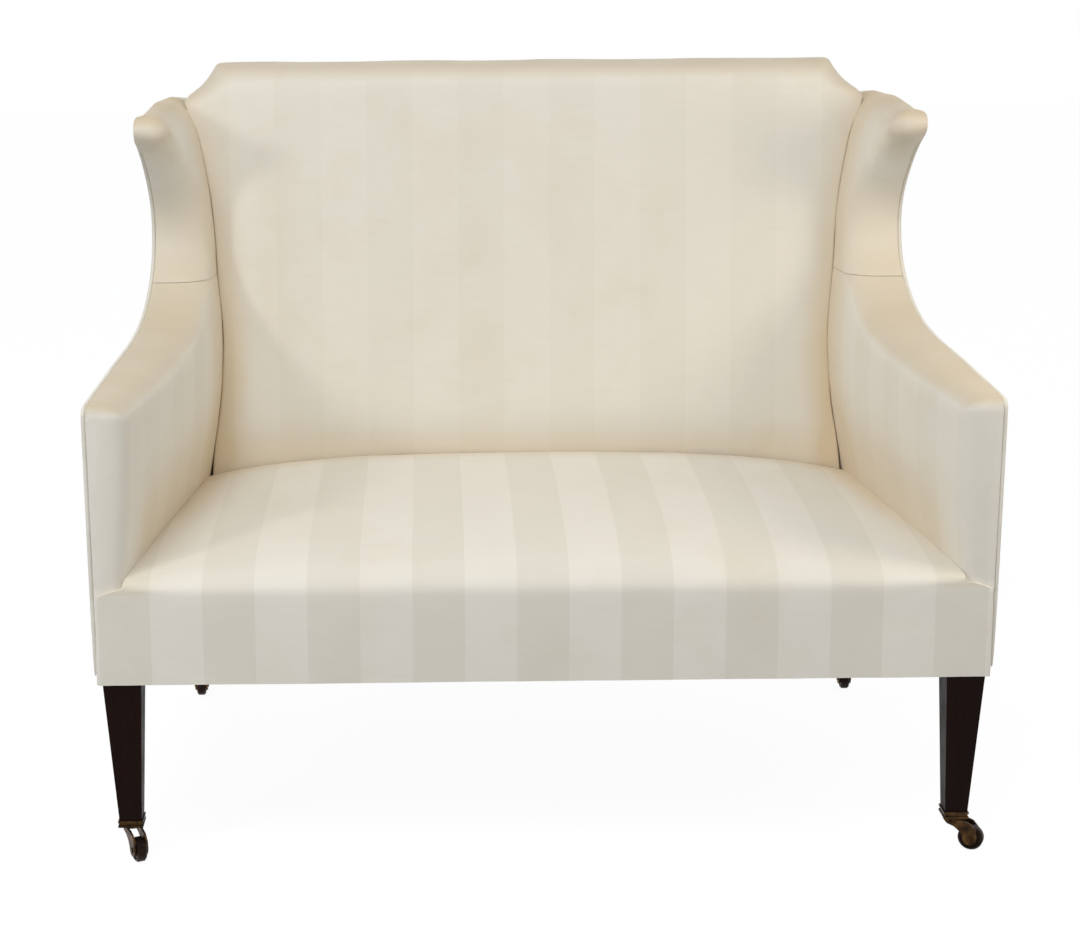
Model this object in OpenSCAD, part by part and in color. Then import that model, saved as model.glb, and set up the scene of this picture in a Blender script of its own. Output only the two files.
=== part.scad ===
// High back settee with padded wings, tight striped covers, square tapered legs and brass casters.
// Lengths in millimetres, +Z up, the front faces -Y, the origin on the floor under the middle.

/* [Overall] */
// Width over the sides at the arm fronts
front_w = 1260; // [1080:10:1600]
// How far each side draws in over the side run
side_draw = 51; // [30:1:70]
// Depth over which the sides draw in
side_run = 715; // [640:5:800]
// Depth of the seat from the arm fronts to the back cover
seat_depth = 603; // [560:1:660]
// Lean of the back from upright, in degrees
back_rake = 6.1; // [4:0.1:9]
// Thickness of the finished back
back_t = 78; // [72:1:95]
// Rise of the top of the back above the wings, measured along its lean
top_over_wing = 62.6; // [40:0.1:80]
// How far the back's shoulders draw in from the wings to the top
shoulder_draw = 39.5; // [30:0.1:70]

/* [Arms and wings] */
// Height of the arm where its top starts
arm_h = 668; // [628:1:708]
// How far the foot of the arm front stands behind its top
front_lean = 14; // [0:1:24]
// Radius of the arm front's top corner
arm_corner = 18; // [10:1:26]
// How far the waist, where the wing edge is furthest back, lies in front of the back
waist_in = 25; // [10:1:50]
// Rise of the waist above the arm
waist_rise = 170; // [140:1:210]
// How far the wing tip stands in front of the waist
tip_out = 131; // [90:1:160]
// Rise of the wing tip above the waist
tip_rise = 150; // [120:1:170]
// Rise of the wing top, at the back, above the wing tip
wing_over = 40; // [30:1:60]
// Rise of the seam between the arm cover and the wing cover above the arm
seam_rise = 85; // [70:1:110]
// Thickness of the arm at seat level, at the front
arm_pad_front = 40; // [36:1:50]
// Thickness of the arm at seat level, at the back
arm_pad_back = 70; // [60:1:85]
// Extra swell of the arm half way up
arm_swell = 25; // [10:1:35]
// Radius of the padded edge along the arm
arm_edge = 28; // [20:1:36]
// Radius of the padded edge along the wing
wing_edge = 40; // [28:1:50]

/* [Seat and rails] */
// Rise of the seat against the arms, at the back, above the rails
seat_rise = 66; // [50:1:80]
// Crown of the seat above its sides
seat_crown = 36; // [20:1:50]
// Height of the lower edge of the front cover
apron_h = 266; // [258:1:270]
// Height of the rails' lower face
rail_low = 274; // [272:1:288]
// Height of the rails' upper face
rail_top = 360; // [348:1:364]
// Rise of the front band of the seat cover above the rails
band_rise = 38; // [28:1:50]
// Thickness of the rails and of the back's boards
board_t = 30; // [24:1:32]
// Thickness of the boards in the sides
side_t = 26; // [20:1:28]
// Crown of the back cover
back_crown = 16; // [6:1:24]
// Radius of the padded edge along the top of the back
back_edge = 44; // [30:1:52]
// Thickness of the covering fabric with its wadding
cover_t = 3; // [2.5:0.1:4]

/* [Legs] */
// Width of the front legs under the rail
leg_w = 54; // [48:1:58]
// Width of the legs just above the casters
foot_w = 32; // [30:1:36]
// Depth of the middle of the front legs
front_leg_y = 36; // [34:1:44]
// How far the foot of a front leg stands in from the middle of its block
foot_in = 3.5; // [0:0.5:6]
// Depth of the middle of the back feet
back_foot_y = 717; // [690:1:740]
// Width of the back posts
post_w = 36; // [34:1:44]

/* [Casters] */
// Radius of the caster wheels
wheel_r = 18; // [15:0.5:19]
// Width of the caster wheels
wheel_w = 14; // [12:0.5:16]
// Offset of the axle from the swivel's centre
trail = 26; // [21:0.5:28]
// Height of the brass cups
cup_h = 10; // [9:0.5:20]
// Height of the underside of the cups above the floor
cup_low = 48; // [46:0.5:52]
// Radius of the swivel pin
king_r = 4; // [3:0.1:5]
// Radius of the axle pin
axle_r = 2.5; // [2:0.1:3]

/* [Springs and piping] */
// Number of springs across the seat
spring_count = 6; // [4:2:6]
// Turns in each spring
spring_turns = 3.5; // [3:0.5:4]
// Radius of the springs at their ends
spring_r = 38; // [30:1:42]
// Radius of the spring wire
wire_r = 1.6; // [1.4:0.1:2]
// Radius of the piping along the outer edges
welt_r = 3.3; // [2:0.1:3.5]

/* [Hidden] */

// Clearance between neighbouring pieces
clear = 0.3;
// Running clearance round pins
run_clear = 0.05;
// Overrun of every cut past the face it opens
over = 2;
// Facets of round parts
$fn = 48;
// Bluntness of the padded edges: 2 is round, more is squarer
edge_power = 2.4;
// Bluntness of the seat's crown across its width
crown_power = 3.4;

// Height of the seat against the arms, and depths of the waist and of the wing tip
seat_side_h = rail_top + seat_rise;
waist_y = seat_depth - waist_in;
tip_y = waist_y - tip_out;
// Heights of the waist, of the seam above the arm, and of the wing
waist_h = arm_h + waist_rise;
seam_h = arm_h + seam_rise;
tip_h = waist_h + tip_rise;
wing_h = tip_h + wing_over;
// Angle of each side to the middle line, in degrees
side_a = atan(side_draw / side_run);
// Slope of the back
rake_k = tan(back_rake);
// Turn of the casters, in degrees: 0 trails to the right, 90 to the rear
turn_fl = -64;
turn_fr = -24;
turn_back = 90;
// Bevel of the wheel's rims
wheel_soft = 2.5;
// Foremost point, the arm fronts or the left front wheel where it trails past them
wheel_reach = (trail + wheel_r) * sin(-turn_fl) + (wheel_w / 2 - wheel_soft) * cos(turn_fl);
front_y = min(0, front_leg_y - wheel_reach);
// Middle of the whole depth, to the rear of the back casters
mid_y = (front_y + back_foot_y + trail + wheel_r) / 2;

// Where a share of 0 to 1 lies between two values
function mix(a, b, k) = a + (b - a) * k;
function clamp01(q) = max(0, min(1, q));
// An even start and stop between 0 and 1
function ease(q) = let (k = clamp01(q)) k * k * (3 - 2 * k);
// Rise of a padded edge: 0 on the edge, 1 at its radius and beyond
function edge(q) = q <= 0 ? 0 : q >= 1 ? 1 : pow(1 - pow(1 - q, edge_power), 1 / edge_power);
// Distance from a point to a stretch of line, and to a whole line
function stretch_d(p, a, b) =
  let (ab = b - a, k = clamp01(((p - a) * ab) / (ab * ab))) norm(p - a - k * ab);
function line_d(p, pl) = min([for (i = [0:len(pl) - 2]) stretch_d(p, pl[i], pl[i + 1])]);
// A smooth curve through the points, with n steps between two of them
function bow(a, b, c, d, k) = 0.5 * (2 * b + (c - a) * k + (2 * a - 5 * b + 4 * c - d) * k * k
  + (3 * b - a - 3 * c + d) * k * k * k);
function smooth(pl, n) = let (m = len(pl) - 1) concat(
  [for (i = [0:m - 1], j = [0:n - 1])
    bow(pl[max(0, i - 1)], pl[i], pl[i + 1], pl[min(m, i + 2)], j / n)],
  [pl[m]]);
// Direction of an open line at one of its points, and the line moved d to its right
function heading(pl, i) = let (v = pl[min(len(pl) - 1, i + 1)] - pl[max(0, i - 1)]) v / norm(v);
function shifted(pl, d) = [for (i = [0:len(pl) - 1])
  let (h = heading(pl, i)) pl[i] + d * [h[1], -h[0]]];
// Height at a depth, and depth at a height, along a line of [depth, height] points
function height_at(pl, y) = lookup(y, pl);
function depth_at(pl, z) = lookup(z, [for (p = pl) [p[1], p[0]]]);

// A closed solid between two grids of points with the same rows and columns
module layer(top, low) {
  nr = len(top);
  nc = len(top[0]);
  base = nr * nc;
  points = concat([for (r = top, p = r) p], [for (r = low, p = r) p]);
  faces = concat(
    [for (i = [0:nr - 2], j = [0:nc - 2], k = [0, 1])
      let (a = i * nc + j, b = a + 1, c = a + nc, d = c + 1) k == 0 ? [a, c, b] : [b, c, d]],
    [for (i = [0:nr - 2], j = [0:nc - 2], k = [0, 1])
      let (a = base + i * nc + j, b = a + 1, c = a + nc, d = c + 1) k == 0 ? [a, b, c] : [b, d, c]],
    [for (i = [0:nr - 2], s = [0, 1], k = [0, 1])
      let (a = i * nc + s * (nc - 1), b = a + nc, c = a + base, d = b + base)
      (s == 0) ? (k == 0 ? [a, c, b] : [b, c, d]) : (k == 0 ? [a, b, c] : [b, d, c])],
    [for (j = [0:nc - 2], s = [0, 1], k = [0, 1])
      let (a = s * (nr - 1) * nc + j, b = a + 1, c = a + base, d = b + base)
      (s == 0) ? (k == 0 ? [a, b, c] : [b, d, c]) : (k == 0 ? [a, c, b] : [b, c, d])]);
  polyhedron(points, faces);
}

// A closed tube through rings that all have the same number of points
module tube(rings) {
  nr = len(rings);
  nc = len(rings[0]);
  points = [for (r = rings, p = r) p];
  faces = concat(
    [for (i = [0:nr - 2], j = [0:nc - 1], k = [0, 1])
      let (a = i * nc + j, b = i * nc + (j + 1) % nc, c = a + nc, d = b + nc)
      k == 0 ? [a, b, c] : [b, d, c]],
    [for (j = [1:nc - 2]) [0, j + 1, j]],
    [for (j = [1:nc - 2]) let (e = (nr - 1) * nc) [e, e + j, e + j + 1]]);
  polyhedron(points, faces);
}

// Places everything with the origin under the middle
module placed() {
  translate([0, -mid_y, 0]) children();
}
// A side's own frame: -X runs inward from its outer face, Y back along it
module on_right() {
  placed() translate([front_w / 2, 0, 0]) rotate([0, 0, side_a]) children();
}
module on_left() {
  mirror([1, 0, 0]) on_right() children();
}
// A board of the side, from t0 to t1 inward of the outer face
module side_board(t0, t1, outline) {
  translate([-t1, 0, 0]) rotate([90, 0, 90]) linear_extrude(t1 - t0) polygon(outline);
}
// The back's own frame: X across, Z up along its lean from the seat line, Y to the rear
module on_back() {
  placed() translate([0, seat_depth, seat_side_h]) rotate([-back_rake, 0, 0]) children();
}
module back_board(n0, n1, outline) {
  translate([0, n1, 0]) rotate([90, 0, 0]) linear_extrude(n1 - n0) polygon(outline);
}

// Depth of the back's face and rear at a height
function face_y(z) = seat_depth + (z - seat_side_h) * rake_k;
function behind_y(z, n) = face_y(z) + n / cos(back_rake);
// The frame boards of the back lie between these two distances behind its face
back_in = back_t - cover_t - clear - board_t;
back_out = back_t - cover_t - clear;

// Outline of the side, as shares of the run from the arm front to the waist and on to the wing tip
arm_shares = [[0.19, 0.04], [0.38, 0.09], [0.57, 0.125], [0.72, 0.19], [0.80, 0.265], [0.865, 0.36],
  [0.95, 0.565], [0.99, 0.79], [1, 1]];
wing_shares = [[0.04, 0.19], [0.175, 0.39], [0.42, 0.63], [0.656, 0.81], [0.87, 0.93], [1, 1]];
// The wing's nose and top, as shares of the run from the tip to the back and of the rise to the top
nose_shares = [[-0.03, 0.16], [-0.042, 0.32], [-0.03, 0.48], [0.01, 0.60]];
top_shares = [[0.08, 0.70], [0.20, 0.76], [0.42, 0.87], [0.62, 1.0], [0.78, 1.06], [1, 1]];
function at_top(p) = [mix(tip_y, face_y(wing_h), p[0]), mix(tip_h, wing_h, p[1])];
foot_front = [front_lean, apron_h];
corner_line = [for (a = [0:22.5:90])
  [arm_corner * (1 - cos(a)), arm_h - arm_corner * (1 - sin(a))]];
arm_line = smooth(concat([corner_line[4]],
  [for (p = arm_shares) [p[0] * waist_y, mix(arm_h, waist_h, p[1])]]), 2);
wing_line = smooth(concat([arm_line[len(arm_line) - 1]],
  [for (p = wing_shares) [mix(waist_y, tip_y, p[0]), mix(waist_h, tip_h, p[1])]]), 2);
nose_line = [for (p = nose_shares) at_top(p)];
top_line = smooth([for (p = concat([nose_shares[3]], top_shares)) at_top(p)], 2);
// The upper edge of the arm by depth, and the front edge of the wing by height
arm_top = concat(corner_line, arm_line);
wing_front = concat([for (p = arm_line) if (p[1] > seam_h - arm_edge) p], wing_line, nose_line);
// The edge that the piping follows, and the whole padded rim
function tail(pl) = [for (i = [1:len(pl) - 1]) pl[i]];
edge_line = concat([foot_front], corner_line, tail(arm_line), tail(wing_line));
rim_line = concat(edge_line, nose_line, tail(top_line));
function rear_y(z) = behind_y(z, back_t - cover_t - clear);

// Thickness of a padded side from its outer face: shares of the swell by height above the seat
swell_shares = [[0, 0], [0.07, 0.28], [0.17, 0.72], [0.25, 0.88], [0.37, 1], [0.45, 0.84], [0.55, 0.6],
  [0.65, 0.48], [0.74, 0.28], [0.81, 0], [0.9, -0.44], [0.96, -0.92], [1, -1.12]];
swell_front_share = 0.45;
swell_full_share = 0.45;
function low_t(y) = mix(arm_pad_front, arm_pad_back, min(y, seat_depth) / seat_depth);
function pad_t(y, z) = low_t(y) - max(0, y - face_y(z)) * tan(side_a)
  + arm_swell * mix(swell_front_share, 1, ease(y / (seat_depth * swell_full_share)))
  * lookup((z - seat_side_h) / (wing_h - seat_side_h), swell_shares);
function edge_r(z) = mix(arm_edge, wing_edge, ease((z - arm_h) / (waist_h - arm_h)));
// A point of the side's padding at a depth d under its skin
function side_point(p, d) =
  [-(pad_t(p[0], p[1]) - d) * edge((line_d(p, rim_line) - d) / edge_r(p[1])), p[0], p[1]];
// Half width between the sides at a depth and height, less the room left beside the back
side_room = 1.6;
function inner_half(y, z) =
  front_w / 2 - y * tan(side_a) - pad_t(y, z) / cos(side_a) - side_room;

// Steps from an edge inward, as shares of the edge's radius, then even steps over the rest
near_shares = [0, 0.04, 0.14, 0.34, 0.65, 1];
// The skins of the sides end this far in front of the back's boards
skin_end = back_in - cover_t;
function steps(n) = concat([for (s = near_shares) [s, 0]], n > 0 ? [for (i = [1:n]) [1, i / n]] : []);
function reach(s, r, full) = s[0] * r + s[1] * (full - r);
// The arm's columns come in two even runs, which meet where the seam leaves the wing's edge
seam_y = depth_at(wing_front, seam_h);
seam_run = behind_y(seam_h, skin_end) - arm_edge;
seam_share = (seam_y - arm_edge) / seam_run;
arm_cols = concat(steps(0), [for (i = [1:8]) [1, seam_share * i / 8]],
  [for (i = [1:len(near_shares) - 1]) [1, seam_share + near_shares[i] * arm_edge / seam_run]],
  [for (i = [1:2]) [1, mix(seam_share + arm_edge / seam_run, 1, i / 2)]]);
arm_rows = concat(steps(6), [[-1, 0]]); // the last row is the lower edge
wing_cols = steps(5);
wing_rows = steps(6);
back_steps = steps(9);
back_rows = concat([[-1, 0]], [for (i = [len(back_steps) - 1:-1:len(near_shares)]) back_steps[i]],
  [[-2, 0]], [for (i = [len(near_shares) - 1:-1:0]) back_steps[i]]);
// Lower edge of the arm cover: it stands on the front band of the seat cover
band_h = rail_top + band_rise;
arm_low = band_h + clear;
function arm_point(u, v, d) =
  let (low = seat_side_h + over,
    lean = front_lean * (arm_h - arm_corner - low) / (arm_h - arm_corner - apron_h),
    y1 = d + reach(u, arm_edge, behind_y(seam_h, skin_end) - d),
    y0 = d + lean + reach(u, arm_edge, behind_y(low, skin_end) - d - lean),
    z1 = y1 - d < seam_y ? height_at(arm_top, y1) - d : seam_h,
    k = reach(v, arm_edge, z1 - low) / (z1 - low))
  v[0] < 0 ? [y0 + (y0 - y1) * (low - arm_low) / (z1 - low), arm_low] : [mix(y1, y0, k), mix(z1, low, k)];
nose_top = nose_line[len(nose_line) - 1];
// The wing's skin stops in front of the post, and over the post's top it runs on to the rear
post_top = wing_h - wing_edge - clear;
wing_turn_share = 0.35;
function wing_end(z) = behind_y(z, mix(skin_end, back_out,
  clamp01((z - post_top) / (wing_edge * wing_turn_share))));
function wing_point(u, v, d, turn = 1) =
  let (k = reach(v, wing_edge, nose_top[1] - d - seam_h) / (nose_top[1] - d - seam_h),
    zf = mix(nose_top[1] - d, seam_h, k),
    yf = depth_at(wing_front, zf) + d,
    zr = mix(wing_h, seam_h, k),
    yr = turn > 0 ? wing_end(zr) : behind_y(zr, skin_end),
    y = yf + reach(u, wing_edge, yr - yf),
    y_top = nose_top[0] + reach(u, wing_edge, wing_end(wing_h) - nose_top[0]),
    z1 = max(nose_top[1], height_at(top_line, y_top)) - d)
  [y, mix(z1, seam_h, k)];
arm_in = cover_t + clear;
// The paddings of the sides start on the inner face of their boards, this far in from the rim
pad_set = 15;
pad_floor = cover_t + clear * 3 + side_t;
pad_in = arm_in + cover_t;
wing_set = 24;

module arm_cover() {
  layer([for (v = arm_rows) [for (u = arm_cols) side_point(arm_point(u, v, 0), 0)]],
    [for (v = arm_rows) [for (u = arm_cols) side_point(arm_point(u, v, cover_t), cover_t)]]);
}
module wing_cover() {
  layer([for (v = wing_rows) [for (u = wing_cols) side_point(wing_point(u, v, 0), 0)]],
    [for (v = wing_rows) [for (u = wing_cols) side_point(wing_point(u, v, cover_t), cover_t)]]);
}
// The paddings under the skins, on the linings that span the boards
module arm_stuffing() {
  layer([for (v = arm_rows) [for (u = arm_cols)
      let (p = arm_point(u, v, pad_set), q = side_point(p, pad_in))
      [min(q[0], -pad_floor - clear * 3), q[1], q[2]]]],
    [for (v = arm_rows) [for (u = arm_cols)
      let (p = arm_point(u, v, pad_set)) [-pad_floor, p[0], p[1]]]]);
}
module wing_stuffing() {
  layer([for (v = wing_rows) [for (u = wing_cols)
      let (p = wing_point(u, v, wing_set, 0), q = side_point(p, pad_in))
      [min(q[0], -pad_floor - clear * 3), q[1], q[2]]]],
    [for (v = wing_rows) [for (u = wing_cols)
      let (p = wing_point(u, v, wing_set, 0)) [-pad_floor, p[0], p[1]]]]);
}
// The closing panel of the side lies inside the skin's rim
module outside_panel() {
  side_board(clear, clear + cover_t, concat(shifted(rim_line, arm_in + cover_t / 2),
    [[rear_y(wing_h) - clear, wing_h - arm_in], [rear_y(apron_h) - clear, apron_h]]));
}
// Piping: a round cord along the rim, outside the joint of skin and panel
welt_sides = 8;
welt_line = shifted(edge_line, welt_r);
module welt() {
  n = len(welt_line) - 2;
  tube([for (i = [0:n])
    let (h = heading(welt_line, i), m = [h[1], -h[0]])
    [for (a = [0:welt_sides - 1])
      let (c = welt_r * cos(a * 360 / welt_sides), e = welt_r * sin(a * 360 / welt_sides))
      [welt_r + clear + e, welt_line[i][0] + c * m[0], welt_line[i][1] + c * m[1]]]]);
}

// Boards of the side, from the outer face inward
side_in = cover_t + clear * 2;
side_out = side_in + side_t;
// Set back of the frame from the padded edges, and the depth of the arm rail
set_back = 14;
arm_rail_d = 42;
post_d = 38;
arm_rail_top = shifted([for (p = arm_line) if (p[1] < seam_h - arm_edge) p], set_back);
rail_end = arm_rail_top[len(arm_rail_top) - 1];
arm_rail_low = arm_rail_top[0][1] - arm_rail_d;
post_front_y = behind_y(arm_h, back_in);
module arm_rail() {
  side_board(side_in, side_out, concat(
    [[set_back, arm_rail_low], [set_back, arm_rail_top[0][1]]], tail(arm_rail_top),
    [[behind_y(rail_end[1], back_in) - clear, rail_end[1]],
    [behind_y(arm_rail_low, back_in) - clear, arm_rail_low]]));
}
module arm_post() {
  side_board(side_in, side_out, [[set_back + front_lean, rail_top], [set_back, arm_rail_low],
    [set_back + post_d, arm_rail_low], [set_back + post_d + front_lean, rail_top]]);
}
tack_rail_h = 32;
module arm_tacking_rail() {
  side_board(side_in, side_out, [
    [set_back + post_d + front_lean + clear, rail_top + clear * 2 + lining_t],
    [set_back + post_d + front_lean + clear, rail_top + tack_rail_h],
    [behind_y(rail_top + tack_rail_h, back_in) - clear, rail_top + tack_rail_h],
    [behind_y(rail_top, back_in) - clear, rail_top + clear * 2 + lining_t]]);
}
module side_rail() {
  y0 = front_leg_y + leg_w / 2 + clear + (side_in + board_t) * tan(side_a);
  side_board(side_in, side_in + board_t, [[y0, rail_low], [y0, rail_top],
    [behind_y(rail_top, back_in) - clear, rail_top],
    [behind_y(rail_low, back_in) - clear, rail_low]]);
}
wing_low = rail_end[1] + clear;
module wing_frame() {
  edge_in = shifted(concat(arm_line, tail(wing_line)), set_back);
  side_board(side_in, side_out, concat(
    [for (p = edge_in) if (p[1] > wing_low + clear && p[1] < wing_h - set_back - wing_edge / 2) p],
    [[mix(tip_y, waist_y, 0.25), wing_h - set_back - wing_edge / 2],
    [behind_y(wing_h, back_in) - clear, wing_h - set_back - wing_edge / 4],
    [behind_y(wing_low, back_in) - clear, wing_low],
    [depth_at(edge_in, wing_low), wing_low]]));
}

// The back: half widths, shoulders and top
lining_t = 1;
back_low = (rail_top + lining_t + clear * 3 - seat_side_h + back_out * sin(back_rake)) / cos(back_rake);
function back_z(h, n) = seat_side_h + h * cos(back_rake) - n * sin(back_rake);
wing_rise = (wing_h - seat_side_h) / cos(back_rake);
back_rise = wing_rise + top_over_wing;
// Half width of the top of the back, and the curve of its shoulders up from the wings
shoulder_shares = [[0, 0], [0.30, 0.10], [0.62, 0.41], [0.84, 0.71], [0.95, 0.90], [1, 1]];
foot_half = inner_half(face_y(wing_h), wing_h);
top_half = foot_half - shoulder_draw;
shoulder_line = smooth([for (p = shoulder_shares)
  [mix(foot_half, top_half, p[0]), mix(wing_rise, back_rise, p[1])]], 2);
free_line = concat(shoulder_line, [[0, back_rise]]);
function back_half(h) = h < wing_rise
  ? inner_half(face_y(back_z(h, 0)), back_z(h, 0)) : depth_at(shoulder_line, h);
across_shares = [0, 0.2, 0.4, 0.58, 0.72, 0.83, 0.90, 0.95, 0.98, 0.993, 1];
across = concat([for (i = [len(across_shares) - 1:-1:1]) -across_shares[i]], across_shares);
// A point of the back's padding at a depth d under its skin
function back_point(u, v, d, rear) =
  let (full = back_rise - d - back_edge, k = 1 - reach(v, back_edge, full) / full,
    rise = min(wing_rise, full - back_edge / 4),
    h = v[0] == -1 ? back_low : v[0] == -2 ? rise : back_edge + k * full, x = u * (back_half(h) - d),
    swell = back_crown * (1 - pow(abs(u), crown_power)) * ease(h / back_edge - 1),
    e = edge((line_d([abs(x), h], free_line) - d) / back_edge))
  [x, rear - (rear + swell - d) * e, h];
module back_skin() {
  layer([for (v = back_rows) [for (u = across) back_point(u, v, 0, back_out)]],
    [for (v = back_rows) [for (u = across) back_point(u, v, cover_t, back_out)]]);
}
// The padding keeps under the skin: narrower at the shoulders, and further in all round
back_set = set_back * 2;
function pad_point(u, v) =
  let (p = back_point(1, v, back_set, back_out), h = p[2],
    w = h > wing_rise - back_edge ? min(p[0], top_half - back_set) : p[0], x = u * w,
    k = abs(x) / back_half(h), swell = back_crown * (1 - pow(k, crown_power)) * ease(h / back_edge - 1))
  [x, back_out - (back_out + swell - pad_in)
    * edge((line_d([abs(x), h], free_line) - pad_in) / back_edge), h];
module back_padding() {
  layer([for (v = back_rows) [for (u = across) let (p = pad_point(u, v))
      [p[0], min(back_in - clear * 4, p[1]), p[2]]]],
    [for (v = back_rows) [for (u = across) let (p = pad_point(u, v))
      [p[0], back_in - clear - lining_t, p[2]]]]);
}
// Half width of the frame between the posts, in the back's own frame
function post_x(z) = front_w / 2 - rear_y(wing_h) * tan(side_a) - side_in - post_w;
post_in = post_x(0);
crest_step = (post_top - clear - seat_side_h) / cos(back_rake) - over;
crest_low = crest_step - board_t - set_back;
module crest() {
  x1 = post_in - clear;
  x2 = foot_half - set_back * 2;
  back_board(back_in, back_out, [[-x1, crest_low], [x1, crest_low], [x1, crest_step], [x2, crest_step],
    [x2, wing_rise - set_back / 2], [top_half - set_back, back_rise - back_edge / 2],
    [top_half - back_edge / 2, back_rise - set_back], [-top_half + back_edge / 2, back_rise - set_back],
    [-top_half + set_back, back_rise - back_edge / 2], [-x2, wing_rise - set_back / 2],
    [-x2, crest_step], [-x1, crest_step]]);
}
back_rail_h = (rail_top - seat_side_h) / cos(back_rake);
tack_low = back_rail_h + 14;
tack_top = tack_low + tack_rail_h;
module back_tack() {
  back_board(back_in, back_out, [[-post_in + clear, tack_low], [post_in - clear, tack_low],
    [post_in - clear, tack_top], [-post_in + clear, tack_top]]);
}
stile_w = 44;
module back_stile() {
  back_board(back_in, back_out, [[-stile_w / 2, tack_top], [stile_w / 2, tack_top],
    [stile_w / 2, crest_low], [-stile_w / 2, crest_low]]);
}
// Webbing of the back: bands both ways in one thin layer
band_w = 50;
module back_bands() {
  n = 9;
  x1 = post_in + post_w / 2;
  z0 = tack_low + clear;
  z1 = crest_low + tack_rail_h;
  translate([0, back_in - clear / 2, 0]) rotate([90, 0, 0]) linear_extrude(lining_t) union() {
    for (i = [0:n - 1]) translate([mix(-x1 + band_w, x1 - band_w, i / (n - 1)) - band_w / 2, z0])
      square([band_w, z1 - z0]);
    for (i = [0:4]) translate([-x1, mix(z0, z1 - band_w, i / 4)]) square([2 * x1, band_w]);
  }
}
module outside_back() {
  x0 = front_w / 2 - behind_y(apron_h, back_t) * tan(side_a);
  x1 = front_w / 2 - behind_y(wing_h, back_t) * tan(side_a);
  low = (rail_low - seat_side_h) / cos(back_rake) + back_t * tan(back_rake);
  half = concat([[x0, low], [x1, wing_rise - clear]],
    [for (p = shoulder_line) [min(p[0], x1) - clear, p[1] - clear]]);
  back_board(back_out + clear, back_t, concat(half,
    [for (i = [len(half) - 1:-1:0]) [-half[i][0], half[i][1]]]));
}

// The seat's half width between the arms, and its profile from the front band to the back
function seat_half(y) = front_w / 2 - y * tan(side_a) - low_t(y) / cos(side_a) - clear * 2;
apron_y = 6; // the front band stands this far behind the arm tops
band_half = front_w / 2 - apron_y * tan(side_a) - clear;
band_shares = [0, 0.35, 0.7, 1];
// Seat profile from the top of the band: shares of the seat's depth, of the side's height above
// the band, and of the crown
seat_shares = [[0.0, 0.01, 0], [0.004, 0.25, 0.03], [0.014, 0.42, 0.14], [0.032, 0.52, 0.34],
  [0.06, 0.60, 0.57], [0.11, 0.66, 0.78], [0.18, 0.72, 0.93], [0.28, 0.80, 1.06], [0.40, 0.88, 1.12],
  [0.55, 0.95, 1.10], [0.72, 0.99, 1.05], [0.88, 1, 1.0], [1, 1, 0.95]];
function seat_y(s, z) = mix(apron_y, face_y(z) - clear * 2, s);
// Middle profile of the seat as [depth, height], used for its slope
seat_mid = [for (p = seat_shares) let (z = mix(band_h, seat_side_h, p[1]) + seat_crown * p[2])
  [seat_y(p[0], z), z]];
function seat_point(i, u, d) =
  let (p = seat_shares[i], c = 1 - pow(abs(u), crown_power),
    z = mix(band_h, seat_side_h, p[1]) + seat_crown * p[2] * c,
    h = i == 0 ? [0, 1] : heading(seat_mid, i), y = seat_y(p[0], z))
  [u * seat_half(y), i == len(seat_shares) - 1 ? y - d * rake_k : y + d * h[1],
    i == 0 ? z : z - d * h[0]];
function band_point(i, u, d) = [u * band_half, apron_y + d, mix(apron_h, band_h, band_shares[i])];
seat_n = len(seat_shares);
module seat_skin() {
  layer(concat([for (i = [0:3]) [for (u = across) band_point(i, u, 0)]],
      [for (i = [0:seat_n - 1]) [for (u = across) seat_point(i, u, 0)]]),
    concat([for (i = [0:3]) [for (u = across) band_point(i, u, cover_t)]],
      [for (i = [0:seat_n - 1]) [for (u = across) seat_point(i, u, cover_t)]]));
}
module seat_padding() {
  low = rail_top + lining_t + clear * 2;
  layer([for (i = [0:seat_n - 1]) [for (u = across) seat_point(i, u, arm_in)]],
    [for (i = [0:seat_n - 1]) [for (u = across) let (p = seat_point(i, u, arm_in))
      [p[0], mix(apron_y + arm_in, face_y(low) - clear * 2, seat_shares[i][0]), low]]]);
}

// Front legs: a square block between the rails and a tapered leg with a spigot in its cup
front_leg_x = front_w / 2 - side_in - leg_w / 2 - (front_leg_y + leg_w / 2) * tan(side_a);
cup_wall = 2.6;
cup_floor = 3;
foot_x = front_leg_x - foot_in;
spigot = foot_w - 2 * cup_wall - 2 * clear;
cup_top = cup_low + cup_h;
leg_top = apron_h - clear * 2;
function taper(w0, w1, shift) =
  [[shift - w1 / 2, cup_top], [shift + w1 / 2, cup_top], [w0 / 2, leg_top], [-w0 / 2, leg_top]];
module front_leg(shift) {
  difference() {
    union() {
      intersection() {
        translate([0, leg_w / 2, 0]) rotate([90, 0, 0]) linear_extrude(leg_w)
          polygon(taper(leg_w, foot_w, shift));
        translate([-leg_w / 2, 0, 0]) rotate([90, 0, 90]) linear_extrude(leg_w)
          polygon(taper(leg_w, foot_w, 0));
      }
      translate([-leg_w / 2, -leg_w / 2 + cover_t, leg_top])
        cube([leg_w, leg_w - cover_t, rail_top - leg_top]);
      translate([shift - spigot / 2, -spigot / 2, cup_low + cup_floor + clear])
        cube([spigot, spigot, cup_h - cup_floor - clear]);
    }
    translate([shift, 0, 0]) king_bore();
  }
}
// The bore for the swivel pin, over the caster's own axis
pin_rise = 30;
module king_bore() {
  translate([0, 0, cup_low - over]) cylinder(r = king_r + 4 * run_clear, h = pin_rise + over + clear);
}
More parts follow.
